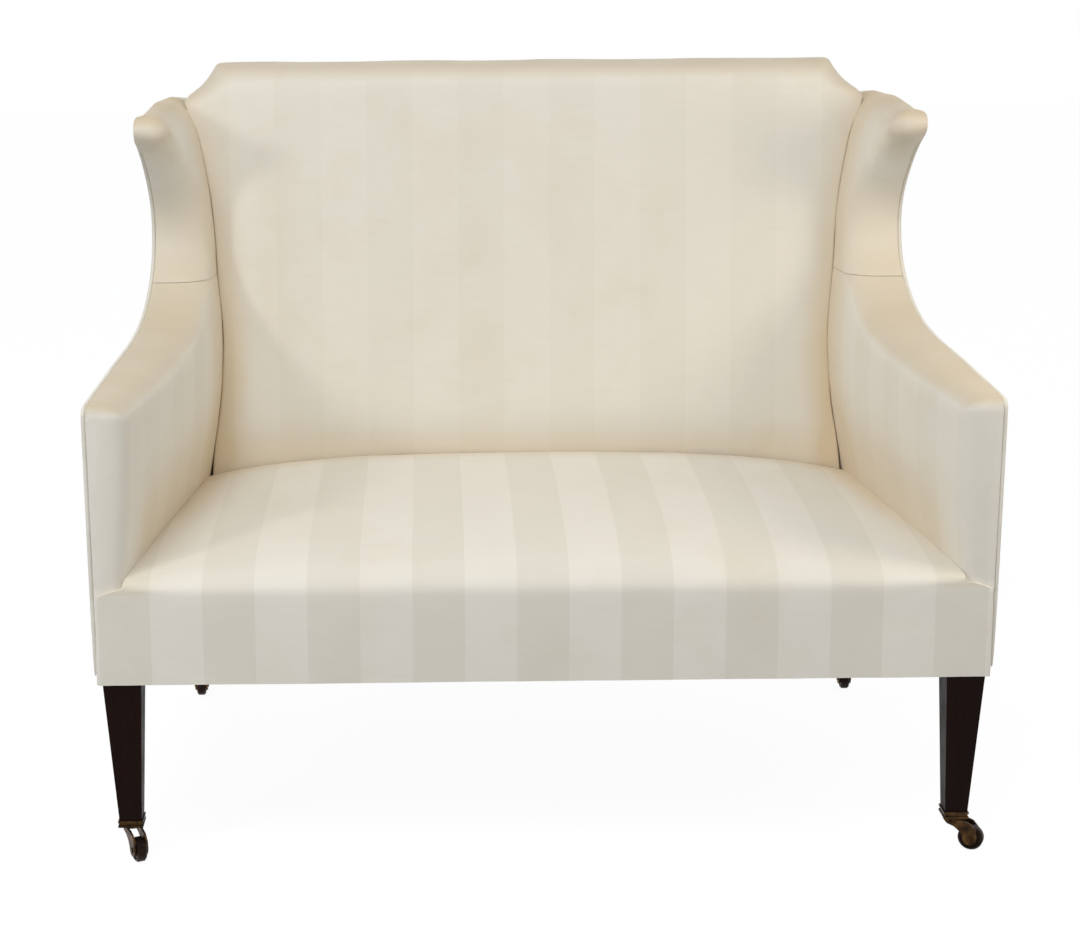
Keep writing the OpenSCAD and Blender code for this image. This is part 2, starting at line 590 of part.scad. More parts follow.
// Back posts: a stile on the lean of the back, and a leg that rakes out to the rear
module back_post() {
  z1 = post_top - clear;
  y0 = behind_y(rail_low, back_in);
  y1 = behind_y(rail_low, back_out);
  difference() {
    union() {
      translate([-post_w / 2, 0, 0]) rotate([90, 0, 90]) linear_extrude(post_w) polygon([
        [back_foot_y - foot_w / 2, cup_top], [back_foot_y + foot_w / 2, cup_top], [y1, rail_low],
        [behind_y(z1, back_out), z1], [behind_y(z1, back_in), z1], [y0, rail_low]]);
      translate([-spigot / 2, back_foot_y - spigot / 2, cup_low + cup_floor + clear])
        cube([spigot, spigot, cup_h - cup_floor - clear]);
    }
    translate([0, back_foot_y, 0]) king_bore();
  }
}
back_leg_x = post_in + post_w / 2;

// Casters, modelled on the swivel's axis with the trail along +X
disc_r = 11;
disc_t = 4;
cheek_t = 3;
cheek_gap = wheel_w / 2 + 0.6;
axle_z = wheel_r;
disc_low = cup_low - clear - disc_t;
module caster_cup() {
  wide = foot_w + 2 * 0.5;
  rib = 1.4;
  difference() {
    union() {
      translate([-wide / 2, -wide / 2, cup_low]) cube([wide, wide, cup_h]);
      for (z = [cup_low, cup_top - 3]) translate([-wide / 2 - rib, -wide / 2 - rib, z])
        cube([wide + 2 * rib, wide + 2 * rib, 3]);
    }
    translate([-spigot / 2 - clear, -spigot / 2 - clear, cup_low + cup_floor])
      cube([spigot + 2 * clear, spigot + 2 * clear, cup_h]);
    translate([0, 0, cup_low - over]) cylinder(r = king_r + run_clear, h = cup_floor + 2 * over);
  }
}
// The horn's side outline, as shares of the trail and of the height from the axle to the disc
horn_shares = [[-0.50, 1], [0.60, 1], [1.05, 0.86], [1.34, 0.52], [1.40, 0.14], [1.36, -0.12], [1.20, -0.32],
  [1.0, -0.38], [0.78, -0.32], [0.64, -0.14], [0.58, 0.10], [0.42, 0.38], [0.12, 0.62], [-0.28, 0.76]];
module caster_fork() {
  rise = disc_low - axle_z;
  difference() {
    union() {
      translate([0, 0, disc_low]) cylinder(r = disc_r, h = disc_t);
      translate([0, 0, disc_low]) cylinder(r = king_r, h = pin_rise + disc_t - clear);
      for (s = [-1, 1]) translate([0, s * (cheek_gap + cheek_t / 2) + cheek_t / 2, axle_z])
        rotate([90, 0, 0]) linear_extrude(cheek_t)
          polygon([for (p = horn_shares) [p[0] * trail, p[1] * rise + (p[1] == 1 ? clear : 0)]]);
    }
    translate([trail, cheek_gap + cheek_t + over, axle_z]) rotate([90, 0, 0])
      cylinder(r = axle_r + run_clear, h = 2 * (cheek_gap + cheek_t + over));
  }
}
module caster_axle() {
  head_t = 1.5;
  half = cheek_gap + cheek_t + clear / 3;
  translate([trail, half, axle_z]) rotate([90, 0, 0]) cylinder(r = axle_r, h = 2 * half);
  for (s = [-1, 1]) translate([trail, s * (half + head_t / 2) + head_t / 2, axle_z]) rotate([90, 0, 0])
    cylinder(r = axle_r + head_t, h = head_t);
}
module caster_wheel() {
  bore = axle_r + run_clear;
  translate([trail, 0, axle_z]) rotate([90, 0, 0]) rotate_extrude() polygon([
    [bore, -wheel_w / 2], [wheel_r * 0.45, -wheel_w / 2], [wheel_r * 0.5, -wheel_w / 2 + 1.2],
    [wheel_r * 0.74, -wheel_w / 2 + 1.2], [wheel_r * 0.78, -wheel_w / 2], [wheel_r - wheel_soft, -wheel_w / 2],
    [wheel_r, -wheel_w / 2 + wheel_soft], [wheel_r, wheel_w / 2 - wheel_soft], [wheel_r - wheel_soft, wheel_w / 2],
    [wheel_r * 0.78, wheel_w / 2], [wheel_r * 0.74, wheel_w / 2 - 1.2], [wheel_r * 0.5, wheel_w / 2 - 1.2],
    [wheel_r * 0.45, wheel_w / 2], [bore, wheel_w / 2]]);
}
// Where each caster stands, and the way its trail points
module under_fl() { placed() translate([-foot_x, front_leg_y, 0]) children(); }
module at_fl() { under_fl() rotate([0, 0, turn_fl]) children(); }
module under_fr() { placed() translate([foot_x, front_leg_y, 0]) children(); }
module at_fr() { under_fr() rotate([0, 0, turn_fr]) children(); }
module under_bl() { placed() translate([-back_leg_x, back_foot_y, 0]) children(); }
module at_bl() { under_bl() rotate([0, 0, turn_back]) children(); }
module under_br() { placed() translate([back_leg_x, back_foot_y, 0]) children(); }
module at_br() { under_br() rotate([0, 0, turn_back]) children(); }

// Rails, brace and corner blocks
rail_front_y = apron_y + cover_t + clear;
module front_rail() {
  x = front_leg_x - leg_w / 2 - clear;
  placed() translate([-x, rail_front_y, rail_low]) cube([2 * x, board_t, rail_top - rail_low]);
}
module back_rail() {
  x = post_in - clear;
  placed() translate([-x, 0, 0]) rotate([90, 0, 90]) linear_extrude(2 * x) polygon([
    [behind_y(rail_low, back_in), rail_low], [behind_y(rail_low, back_out), rail_low],
    [behind_y(rail_top, back_out), rail_top], [behind_y(rail_top, back_in), rail_top]]);
}
brace_w = 45;
brace_h = 30;
module brace() {
  y0 = rail_front_y + board_t + clear;
  y1 = behind_y(rail_low, back_in) - clear;
  placed() translate([-brace_w / 2, y0, rail_low]) cube([brace_w, y1 - y0, brace_h]);
}
block_w = 70;
block_h = 50;
module blocks() {
  xf = front_leg_x - leg_w / 2 - clear;
  yf = rail_front_y + board_t + clear;
  yb = behind_y(rail_low, back_in) - clear;
  xb = front_w / 2 - (yb + block_w / 2) * tan(side_a) - (side_in + board_t) / cos(side_a) - clear;
  placed() for (s = [-1, 1]) {
    translate([0, 0, rail_top - block_h]) linear_extrude(block_h - clear)
      polygon([[s * xf, yf], [s * (xf - block_w), yf], [s * xf, yf + block_w]]);
    translate([0, 0, rail_low + clear]) linear_extrude(block_h - clear)
      polygon([[s * xb, yb], [s * (xb - block_w), yb], [s * xb, yb - block_w]]);
  }
}

// Webbing, springs, lining and dust cover
web_t = 1.6;
seat_front_in = rail_front_y + board_t;
module seat_bands() {
  nx = 9;
  ny = 5;
  y0 = rail_front_y + over;
  y1 = behind_y(rail_low, back_out) - over;
  placed() translate([0, 0, rail_low - clear / 2 - web_t]) linear_extrude(web_t) union() {
    for (i = [0:nx - 1]) let (xe = post_in - over - band_w / 2, x = mix(-xe, xe, i / (nx - 1)))
      translate([x - band_w / 2, y0]) square([band_w, y1 - y0]);
    for (i = [0:ny - 1]) let (y = mix(front_leg_y + leg_w / 2 + over, y1 - band_w, i / (ny - 1)),
      xs = front_w / 2 - (y + band_w) * tan(side_a) - side_in - over,
      x = i == ny - 1 ? post_in - over : xs)
      translate([-x, y]) square([2 * x, band_w]);
  }
}
spring_low = rail_low - clear / 2 + wire_r + clear / 3;
spring_top = rail_top - wire_r - clear / 3;
spring_waist_share = 0.62;
function spring_ring(q) =
  let (a = q * spring_turns * 360, r = spring_r * mix(spring_waist_share, 1, pow(2 * q - 1, 2)),
    z = mix(spring_low, spring_top, q))
  [for (b = [0:60:300]) let (c = r + wire_r * cos(b)) [c * cos(a), c * sin(a), z + wire_r * sin(b)]];
module spring() {
  n = round(spring_turns * 8);
  tube([for (i = [0:n]) spring_ring(i / n)]);
}
module springs() {
  placed() for (i = [0:spring_count - 1], j = [0, 1])
    translate([mix(-1, 1, i / (spring_count - 1)) * spring_span, seat_depth * spring_shares[j], 0])
      spring();
}
spring_shares = [0.3, 0.72];
spring_span = 440; // the outermost springs stand this far from the middle
module lining() {
  y0 = rail_front_y + over;
  y1 = behind_y(rail_top, back_out) - over;
  x0 = front_w / 2 - (set_back + post_d + front_lean + 2) * tan(side_a) - side_out - over;
  ym = set_back + post_d + front_lean + over;
  xm = front_w / 2 - ym * tan(side_a) - side_in - over;
  yp = behind_y(rail_top, back_in) - over;
  xp = front_w / 2 - yp * tan(side_a) - side_in - over;
  half = [[x0 - over, y0], [x0 - over, ym], [xm, ym], [xp, yp], [post_in - over, yp], [post_in - over, y1]];
  placed() translate([0, 0, rail_top + clear]) linear_extrude(lining_t)
    polygon(concat(half, [for (i = [5:-1:0]) [-half[i][0], half[i][1]]]));
}
module dust() {
  z = apron_h + clear;
  t = lining_t;
  y0 = rail_front_y + over;
  ym = front_leg_y + leg_w / 2 + over;
  x0 = front_leg_x - leg_w / 2 - over;
  xm = front_w / 2 - ym * tan(side_a) - side_in - over;
  yp = behind_y(rail_low, back_in) - leg_w / 2;
  xp = front_w / 2 - yp * tan(side_a) - side_in - over;
  y1 = behind_y(rail_low, back_out) - over;
  half = [[x0, y0], [x0, ym], [xm, ym], [xp, yp], [post_in - over, yp], [post_in - over, y1]];
  placed() translate([0, 0, rail_low - clear - web_t - t]) linear_extrude(t)
    polygon(concat(half, [for (i = [5:-1:0]) [-half[i][0], half[i][1]]]));
}

// The pieces, one module each
module front_seat_rail() { color("burlywood") front_rail(); }
module back_seat_rail() { color("burlywood") back_rail(); }
module left_seat_rail() { color("burlywood") on_left() side_rail(); }
module right_seat_rail() { color("burlywood") on_right() side_rail(); }
module seat_brace() { color("burlywood") brace(); }
module corner_blocks() { color("tan") blocks(); }
module front_leg_left() { color("#2a140c") placed() translate([-front_leg_x, front_leg_y]) front_leg(foot_in); }
module front_leg_right() { color("#2a140c") placed() translate([front_leg_x, front_leg_y]) front_leg(-foot_in); }
module back_post_left() { color("#2a140c") placed() translate([-back_leg_x, 0, 0]) back_post(); }
module back_post_right() { color("#2a140c") placed() translate([back_leg_x, 0, 0]) back_post(); }
module crest_rail() { color("burlywood") on_back() crest(); }
module back_tacking_rail() { color("burlywood") on_back() back_tack(); }
module back_centre_stile() { color("burlywood") on_back() back_stile(); }
module arm_post_left() { color("burlywood") on_left() arm_post(); }
module arm_post_right() { color("burlywood") on_right() arm_post(); }
module arm_rail_left() { color("burlywood") on_left() arm_rail(); }
module arm_rail_right() { color("burlywood") on_right() arm_rail(); }
module arm_tacking_rail_left() { color("burlywood") on_left() arm_tacking_rail(); }
module arm_tacking_rail_right() { color("burlywood") on_right() arm_tacking_rail(); }
module wing_frame_left() { color("burlywood") on_left() wing_frame(); }
module wing_frame_right() { color("burlywood") on_right() wing_frame(); }
module seat_webbing() { color("peru") seat_bands(); }
module seat_springs() { color("silver") springs(); }
module seat_hessian() { color("tan") lining(); }
module seat_stuffing() { color("sienna") placed() seat_padding(); }
module seat_cover() { color("ivory") placed() seat_skin(); }
module dust_cover() { color("dimgray") dust(); }
module back_webbing() { color("peru") on_back() back_bands(); }
module back_stuffing() { color("sienna") on_back() back_padding(); }
module inside_back_cover() { color("ivory") on_back() back_skin(); }
module outside_back_cover() { color("ivory") on_back() outside_back(); }
module arm_stuffing_left() { color("sienna") on_left() arm_stuffing(); }
module arm_stuffing_right() { color("sienna") on_right() arm_stuffing(); }
module arm_cover_left() { color("ivory") on_left() arm_cover(); }
module arm_cover_right() { color("ivory") on_right() arm_cover(); }
module wing_stuffing_left() { color("sienna") on_left() wing_stuffing(); }
module wing_stuffing_right() { color("sienna") on_right() wing_stuffing(); }
module wing_cover_left() { color("ivory") on_left() wing_cover(); }
module wing_cover_right() { color("ivory") on_right() wing_cover(); }
module outside_arm_panel_left() { color("ivory") on_left() outside_panel(); }
module outside_arm_panel_right() { color("ivory") on_right() outside_panel(); }
module welt_left() { color("cornsilk") on_left() welt(); }
module welt_right() { color("cornsilk") on_right() welt(); }
module caster_cup_fl() { color("darkgoldenrod") under_fl() caster_cup(); }
module caster_cup_fr() { color("darkgoldenrod") under_fr() caster_cup(); }
module caster_cup_bl() { color("darkgoldenrod") under_bl() caster_cup(); }
module caster_cup_br() { color("darkgoldenrod") under_br() caster_cup(); }
module caster_fork_fl() { color("goldenrod") at_fl() caster_fork(); }
module caster_fork_fr() { color("goldenrod") at_fr() caster_fork(); }
module caster_fork_bl() { color("goldenrod") at_bl() caster_fork(); }
module caster_fork_br() { color("goldenrod") at_br() caster_fork(); }
module caster_axle_fl() { color("goldenrod") at_fl() caster_axle(); }
module caster_axle_fr() { color("goldenrod") at_fr() caster_axle(); }
module caster_axle_bl() { color("goldenrod") at_bl() caster_axle(); }
module caster_axle_br() { color("goldenrod") at_br() caster_axle(); }
module caster_wheel_fl() { color("#3a2a20") at_fl() caster_wheel(); }
module caster_wheel_fr() { color("#3a2a20") at_fr() caster_wheel(); }
module caster_wheel_bl() { color("#3a2a20") at_bl() caster_wheel(); }
module caster_wheel_br() { color("#3a2a20") at_br() caster_wheel(); }

front_seat_rail();
back_seat_rail();
left_seat_rail();
right_seat_rail();
seat_brace();
corner_blocks();
front_leg_left();
front_leg_right();
back_post_left();
back_post_right();
crest_rail();
back_tacking_rail();
back_centre_stile();
arm_post_left();
arm_post_right();
arm_rail_left();
arm_rail_right();
arm_tacking_rail_left();
arm_tacking_rail_right();
wing_frame_left();
wing_frame_right();
seat_webbing();
seat_springs();
seat_hessian();
seat_stuffing();
seat_cover();
dust_cover();
back_webbing();
back_stuffing();
inside_back_cover();
outside_back_cover();
arm_stuffing_left();
arm_stuffing_right();
arm_cover_left();
arm_cover_right();
wing_stuffing_left();
wing_stuffing_right();
wing_cover_left();
wing_cover_right();
outside_arm_panel_left();
outside_arm_panel_right();
welt_left();
welt_right();
caster_cup_fl();
caster_cup_fr();
caster_cup_bl();
caster_cup_br();
caster_fork_fl();
caster_fork_fr();
caster_fork_bl();
caster_fork_br();
caster_axle_fl();
caster_axle_fr();
caster_axle_bl();
caster_axle_br();
caster_wheel_fl();
caster_wheel_fr();
caster_wheel_bl();
caster_wheel_br();
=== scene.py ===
# %% [markdown]
# # A high back settee, dressed in striped satin
# The settee is a beech frame on mahogany legs with brass casters. Springs, webbing and horsehair sit in
# it, and an ivory cloth with satin stripes is pulled tight over them. The frame, legs and casters
# arrive as exact solids. Every soft piece is made again here, because cloth has a weave, a fold and a
# fullness that a plain solid lacks.

# %% Open the frame
import math
import bmesh
import bpy
from mathutils import Matrix, Vector, noise


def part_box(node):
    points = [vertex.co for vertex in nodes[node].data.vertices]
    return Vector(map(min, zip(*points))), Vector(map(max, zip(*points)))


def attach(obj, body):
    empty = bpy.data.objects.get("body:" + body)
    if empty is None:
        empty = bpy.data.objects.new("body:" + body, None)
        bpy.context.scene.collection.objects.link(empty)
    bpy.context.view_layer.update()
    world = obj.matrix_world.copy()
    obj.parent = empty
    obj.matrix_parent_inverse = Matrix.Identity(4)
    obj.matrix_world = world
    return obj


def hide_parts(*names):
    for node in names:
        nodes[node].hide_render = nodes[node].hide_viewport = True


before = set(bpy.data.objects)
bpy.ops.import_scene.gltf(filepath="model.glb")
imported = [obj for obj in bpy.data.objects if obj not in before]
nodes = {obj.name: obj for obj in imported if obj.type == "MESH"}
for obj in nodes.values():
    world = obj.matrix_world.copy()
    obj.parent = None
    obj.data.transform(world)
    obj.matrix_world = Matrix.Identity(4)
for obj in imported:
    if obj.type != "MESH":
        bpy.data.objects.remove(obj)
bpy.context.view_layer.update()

# %% [markdown]
# ## The camera
# The picture was taken from a little left of the middle, from above the top of the back and from about
# three and a half metres away, with the view shifted so that the settee sits in the frame. The lens,
# turn and shift below were found by fitting the settee's known edges to the picture, because a view set
# by eye is wrong by many pixels.

# %% Set the camera
PICTURE = (1080, 931)
FOCAL_PIXELS = 2399.4
CENTRE_PIXEL = (439.7, 431.0)
YAW, PITCH, ROLL = 0.306, 12.663, 0.497
lens = bpy.data.cameras.new("camera")
lens.sensor_fit = "HORIZONTAL"
lens.sensor_width = 36
lens.lens = 36 * FOCAL_PIXELS / PICTURE[0]
lens.shift_x = (PICTURE[0] / 2 - CENTRE_PIXEL[0]) / PICTURE[0]
lens.shift_y = (CENTRE_PIXEL[1] - PICTURE[1] / 2) / PICTURE[0]
lens.clip_end = 60
camera = bpy.data.objects.new("camera", lens)
bpy.context.scene.collection.objects.link(camera)
turn = (Matrix.Rotation(math.radians(-YAW), 4, "Z") @ Matrix.Rotation(math.radians(90 - PITCH), 4, "X")
        @ Matrix.Rotation(math.radians(-ROLL), 4, "Z"))
camera.matrix_world = Matrix.Translation((-0.1616, -3.5893, 1.3514)) @ turn
bpy.context.scene.camera = camera
print("camera looks along", [round(-c, 5) for c in turn.col[2][:3]])

# %% [markdown]
# ## Finishes written as sums
# A finish is a small net of nodes. Drawn by hand it is a tangle of wires, so it is written here as
# sums: a thread is one output of a node, and adding or multiplying threads adds the nodes that do it.
# Colours go through colour mixes, because a sum of numbers would turn a colour grey.

# %% Threads and finishes
class Thread:
    """One output of a node, which can be added, multiplied and compared."""

    def __init__(self, finish, socket):
        self.finish, self.socket = finish, socket

    def work(self, operation, first, second):
        return self.finish.node("Math", {"operation": operation}, {0: first, 1: second})

    def __add__(self, other):
        return self.work("ADD", self, other)

    def __radd__(self, other):
        return self.work("ADD", other, self)

    def __sub__(self, other):
        return self.work("SUBTRACT", self, other)

    def __rsub__(self, other):
        return self.work("SUBTRACT", other, self)

    def __mul__(self, other):
        return self.work("MULTIPLY", self, other)

    def wave(self):
        return self.work("COSINE", self, 0)

    def within(self, low, high):
        """0 below low and 1 above high, with an even slope between them."""
        inputs = {"Value": self, "From Min": low, "From Max": high}
        return self.finish.node("MapRange", {"clamp": True}, inputs)


class Finish:
    """A material, or the world, that is put together from threads."""

    def __init__(self, name, kind="materials", shader="Principled BSDF"):
        self.material = getattr(bpy.data, kind).new(name)
        self.material.use_nodes = True
        self.tree = self.material.node_tree
        self.shader = self.tree.nodes[shader]

    def fill(self, node, inputs):
        for key, value in inputs.items():
            if isinstance(value, Thread):
                self.tree.links.new(value.socket, node.inputs[key])
            else:
                node.inputs[key].default_value = value

    def node(self, kind, settings=None, inputs=None, output=0):
        node = self.tree.nodes.new("ShaderNode" + kind)
        for key, value in (settings or {}).items():
            setattr(node, key, value)
        self.fill(node, inputs or {})
        return Thread(self, node.outputs[output])

    def place(self, stretch=(1, 1, 1), own="Object"):
        where = self.node("TexCoord", output=own)
        return self.node("Mapping", {}, {"Vector": where, "Scale": stretch})

    def cloud(self, size, where=None, detail=2.0, rough=0.5):
        """Smooth unevenness with lumps of about that size in metres."""
        where = where or self.place()
        inputs = {"Vector": where, "Scale": 0.6 / size, "Detail": detail, "Roughness": rough}
        return self.node("TexNoise", {}, inputs)

    def tint(self, mask, low, high):
        return self.node("Mix", {"data_type": "RGBA"}, {0: mask, 6: low, 7: high}, output=2)

    def bump(self, height, depth, under=None):
        """Turns a height from 0 to 1 into a relief of that depth in metres."""
        inputs = {"Strength": 1.0, "Distance": depth, "Height": height}
        if under:
            inputs["Normal"] = under
        return self.node("Bump", {}, inputs)

    def looked_at(self):
        """1 for rays from the camera and from reflections, and 0 for others."""
        seen, glossy = (self.node("LightPath", output=i) for i in (0, 3))
        return seen.work("MAXIMUM", seen, glossy)

    def split(self, thread):
        """The three parts of a place or a direction."""
        parts = self.tree.nodes.new("ShaderNodeSeparateXYZ")
        self.tree.links.new(thread.socket, parts.inputs[0])
        return [Thread(self, socket) for socket in parts.outputs]

    def show(self, **inputs):
        titles = {key: key.replace("_", " ").title().replace("Ior", "IOR") for key in inputs}
        self.fill(self.shader, {titles[key]: value for key, value in inputs.items()})
        return self.material


def colour(red, green, blue):
    """A screen colour from 0 to 255, as the shader wants it."""
    part = [((c / 255 + 0.055) / 1.055) ** 2.4 for c in (red, green, blue)]
    return (*part, 1.0)

# %% [markdown]
# ## The striped satin
# The cover is one ivory yarn woven in two ways: a sateen stripe lies smooth and bright, and the next
# one has a closer, duller face. So the stripes differ little in colour and more in shine, and that shine
# is painted into the colour: the sateen stripes are painted lighter, and on the back, where the light
# falls the other way, painted darker. Each piece carries a flat map of its cloth in metres, with the
# stripes' crosswise measure in u, so a stripe keeps its width wherever the cloth turns. The weave is a
# fine diagonal relief on the same map. Age adds faint clouds and a few specks. Upper faces get a
# warmer, darker tone that is partly soil and partly painted shade, and folds, crevices and the noses
# of the wings get painted warm shade.

# %% The satin
STRIPE = 0.0733
THREAD_ACROSS, THREAD_ALONG = 0.0011, 0.0016
WEAVE_DEPTH, SLACK_DEPTH = 0.00016, 0.0011


def satin(name, sheen_contrast=1.0, worn=0.0):
    """The cover's cloth: how strongly its stripes' painted sheen shows, and how much warm darkening its upper
    faces get, partly soil and partly painted shade.
    """
    cloth = Finish(name)
    own = cloth.place(own="UV")
    across, along = cloth.split(own)[:2]
    drift = (cloth.cloud(0.35, own) - 0.5) * 0.005
    stripe = ((across + drift) * (math.pi / STRIPE)).wave().within(-0.045, 0.045)
    slant = across * (2 * math.pi / THREAD_ACROSS) + along * (2 * math.pi / THREAD_ALONG)
    thread = slant.wave() * 0.5 + 0.5
    slub = cloth.cloud(0.004, cloth.place((0.12, 1, 1), own="UV"), 3)
    age = cloth.cloud(0.11, detail=4.0, rough=0.6)
    patch = age.within(0.52, 0.80) * 0.35
    spot = cloth.node("TexVoronoi", {}, {"Vector": cloth.place(), "Scale": 9.0})
    speck = (1 - spot.within(0.010, 0.016)) * cloth.cloud(0.2).within(0.60, 0.64) * 0.6
    # The two stripe colours are painted sheen: the sateen stripe is painted lighter, as its shine would look,
    # and a negative contrast paints the stripes the other way round, as on the back.
    dull = cloth.tint(slub, colour(222, 218, 207), colour(227, 223, 212))
    bright = cloth.tint(slub, colour(229, 225, 215), colour(234, 230, 221))
    ground = cloth.tint((stripe - 0.5) * sheen_contrast + 0.5, bright, dull)
    aged_and_shaded = cloth.tint(patch, ground, colour(216, 203, 178))
    # Upper faces, by which way they face, get a warmer, darker tone: partly soil and partly painted shade.
    if worn:
        upward_soil_and_shade = cloth.split(cloth.node("NewGeometry", output=1))[2].within(0.30, 0.95)
        aged_and_shaded = cloth.tint(upward_soil_and_shade * worn, aged_and_shaded, colour(203, 186, 155))
    aged_and_shaded = cloth.tint(speck, aged_and_shaded, colour(120, 98, 72))
    # Painted warm shade in folds and crevices and on the noses of the wings, from the mark made with each
    # skin.
    painted_shade = cloth.node("Attribute", {"attribute_name": "painted_shade"}, output=2)
    aged_and_shaded = cloth.tint(painted_shade * 0.62, aged_and_shaded, colour(214, 190, 148))
    relief = cloth.bump(thread * 0.55 + slub * 0.45, WEAVE_DEPTH)
    relief = cloth.bump(cloth.cloud(0.05, detail=3.0), SLACK_DEPTH, relief)
    rough = 0.52 + stripe * 0.14 + patch * 0.1 + slub * 0.05
    return cloth.show(base_color=aged_and_shaded, roughness=rough, normal=relief, sheen_weight=0.25,
                      sheen_roughness=0.5, specular_ior_level=0.3)


# The stripes' sheen is painted into their colour and reversed on the back; worn gives the upper faces of the
# back and the sides a warmer, darker tone, partly soil and partly painted shade.
seat_satin = satin("ivory_satin_of_the_seat")
back_satin = satin("ivory_satin_of_the_back", sheen_contrast=-0.35, worn=0.65)
side_satin = satin("ivory_satin_of_the_sides", sheen_contrast=0.35, worn=0.75)
plain_satin = satin("ivory_satin_outside", sheen_contrast=0.8)

# %% [markdown]
# ## From a solid to a cloth skin
# A cover's skin is a surface drawn through rows of points. Subdivision rounds it, a slow noise makes it
# uneven, and it is given the 3 mm of its cloth and wadding last. Piping, pads and flat sheets start
# from copies of their solids instead. Sewing the covers from flat pieces would be closer to the
# upholsterer's work, but a skin that is pulled tight has the shape of what it covers.

# %% Tools for skins
CLOTH = 0.003
CREASE = math.radians(50)


def settle():
    """Leaves any edit and selects nothing."""
    if bpy.context.object and bpy.context.object.mode != "OBJECT":
        bpy.ops.object.mode_set(mode="OBJECT")
    bpy.ops.object.select_all(action="DESELECT")


def pick(piece):
    settle()
    piece.hide_set(False)
    piece.select_set(True)
    bpy.context.view_layer.objects.active = piece


def modify(piece, kind, **settings):
    pick(piece)
    modifier = piece.modifiers.new(kind.lower(), kind)
    for key, value in settings.items():
        setattr(modifier, key, value)
    bpy.ops.object.modifier_apply(modifier=modifier.name)


def rounded(piece, levels, corners="PRESERVE_CORNERS"):
    modify(piece, "SUBSURF", levels=levels, render_levels=levels, quality=4, boundary_smooth=corners)


def push(piece, amount):
    """Moves every point along its normal, by the amount in metres for its place."""
    away = [(v, v.normal.copy()) for v in piece.data.vertices]
    for v, normal in away:
        v.co += normal * amount(v.co)


def ripple(piece, depth, size):
    """Lets the cloth lie a little uneven, as hair under a stretched cover makes it."""
    push(piece, lambda p: depth * (noise.noise(p / size) + 0.4 * noise.noise(p * 3.1 / size)))


def placed(name, data):
    """A new piece in the scene, with that data."""
    piece = bpy.data.objects.new(name, data)
    bpy.context.scene.collection.objects.link(piece)
    return piece


def lifted(node, name):
    """A copy of a solid's mesh as a new piece, with its doubles merged and its triangles paired."""
    piece = placed(name, nodes[node].data.copy())
    pick(piece)
    if piece.data.has_custom_normals:
        bpy.ops.mesh.customdata_custom_splitnormals_clear()
    bpy.ops.object.mode_set(mode="EDIT")
    bpy.ops.mesh.select_all(action="SELECT")
    bpy.ops.mesh.remove_doubles(threshold=0.00003)
    bpy.ops.mesh.tris_convert_to_quads(face_threshold=math.pi, shape_threshold=math.pi)
    bpy.ops.mesh.normals_make_consistent(inside=False)
    bpy.ops.object.mode_set(mode="OBJECT")
    return piece


def from_rows(name, rows):
    """A surface through rows of points, given in millimetres."""
    width = len(rows[0])
    faces = [(i * width + j, i * width + j + 1, (i + 1) * width + j + 1, (i + 1) * width + j)
             for i in range(len(rows) - 1) for j in range(width - 1)]
    data = bpy.data.meshes.new(name)
    data.from_pydata([[c / 1000 for c in point] for row in rows for point in row], [], faces)
    return placed(name, data)


def thickened(piece, facing):
    """Turns the faces to look along facing and puts cloth and wadding behind them."""
    pick(piece)
    bpy.ops.object.mode_set(mode="EDIT")
    bpy.ops.mesh.select_all(action="SELECT")
    bpy.ops.mesh.normals_make_consistent(inside=False)
    bpy.ops.object.mode_set(mode="OBJECT")
    if sum(p.normal.dot(Vector(facing)) * p.area for p in piece.data.polygons) < 0:
        piece.data.flip_normals()
    modify(piece, "SOLIDIFY", thickness=CLOTH, offset=-1, use_even_offset=False)


def lay(piece, across, along):
    """The flat map of a piece's cloth, in metres, from two measures of a point."""
    while piece.data.uv_layers:
        piece.data.uv_layers.remove(piece.data.uv_layers[0])
    flat = piece.data.uv_layers.new(name="cloth")
    measures = [(across(v.co), along(v.co)) for v in piece.data.vertices]
    for loop in piece.data.loops:
        flat.data[loop.index].uv = measures[loop.vertex_index]


def paint_shade(piece, amount):
    """Notes for every point, from 0 to 1, how much painted shade it gets, mostly where it lies in a fold."""
    deep = piece.data.attributes.new("painted_shade", "FLOAT", "POINT")
    deep.data.foreach_set("value", [min(max(amount(v.co * 1000), 0.0), 1.0) for v in piece.data.vertices])


def dress(piece, material, node, smooth=True):
    """Gives a finished piece its material and its body, and hides the solid that it stands for."""
    piece.data.materials.clear()
    piece.data.materials.append(material)
    pick(piece)
    if smooth:
        bpy.ops.object.shade_smooth_by_angle(angle=CREASE)
    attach(piece, "settee")
    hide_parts(node)


# %% [markdown]
# ## The settee's own measures
# The covers follow the same measures as the solids: widths, heights, the outline of a side and the
# swell of its padding. They are written here once more, in millimetres from the front of the arms,
# because the surfaces are drawn from them at many more points than the solids have. A smooth curve runs
# through each outline's few points.

# %% Curves through points
def mix(a, b, k):
    return a + (b - a) * k


def ease(q):
    q = min(max(q, 0.0), 1.0)
    return q * q * (3 - 2 * q)


def edge(q):
    """Rise of a padded edge: 0 on the edge, 1 at its radius and beyond."""
    return 0.0 if q <= 0 else 1.0 if q >= 1 else (1 - (1 - q) ** 2.4) ** (1 / 2.4)


def read_off(line, value, key=0):
    """The other measure of a line of pairs where its key measure has a value."""
    line = sorted(line, key=lambda p: p[key])
    if value <= line[0][key]:
        return line[0][1 - key]
    for a, b in zip(line, line[1:]):
        if value <= b[key]:
            return mix(a[1 - key], b[1 - key], (value - a[key]) / max(b[key] - a[key], 1e-9))
    return line[-1][1 - key]


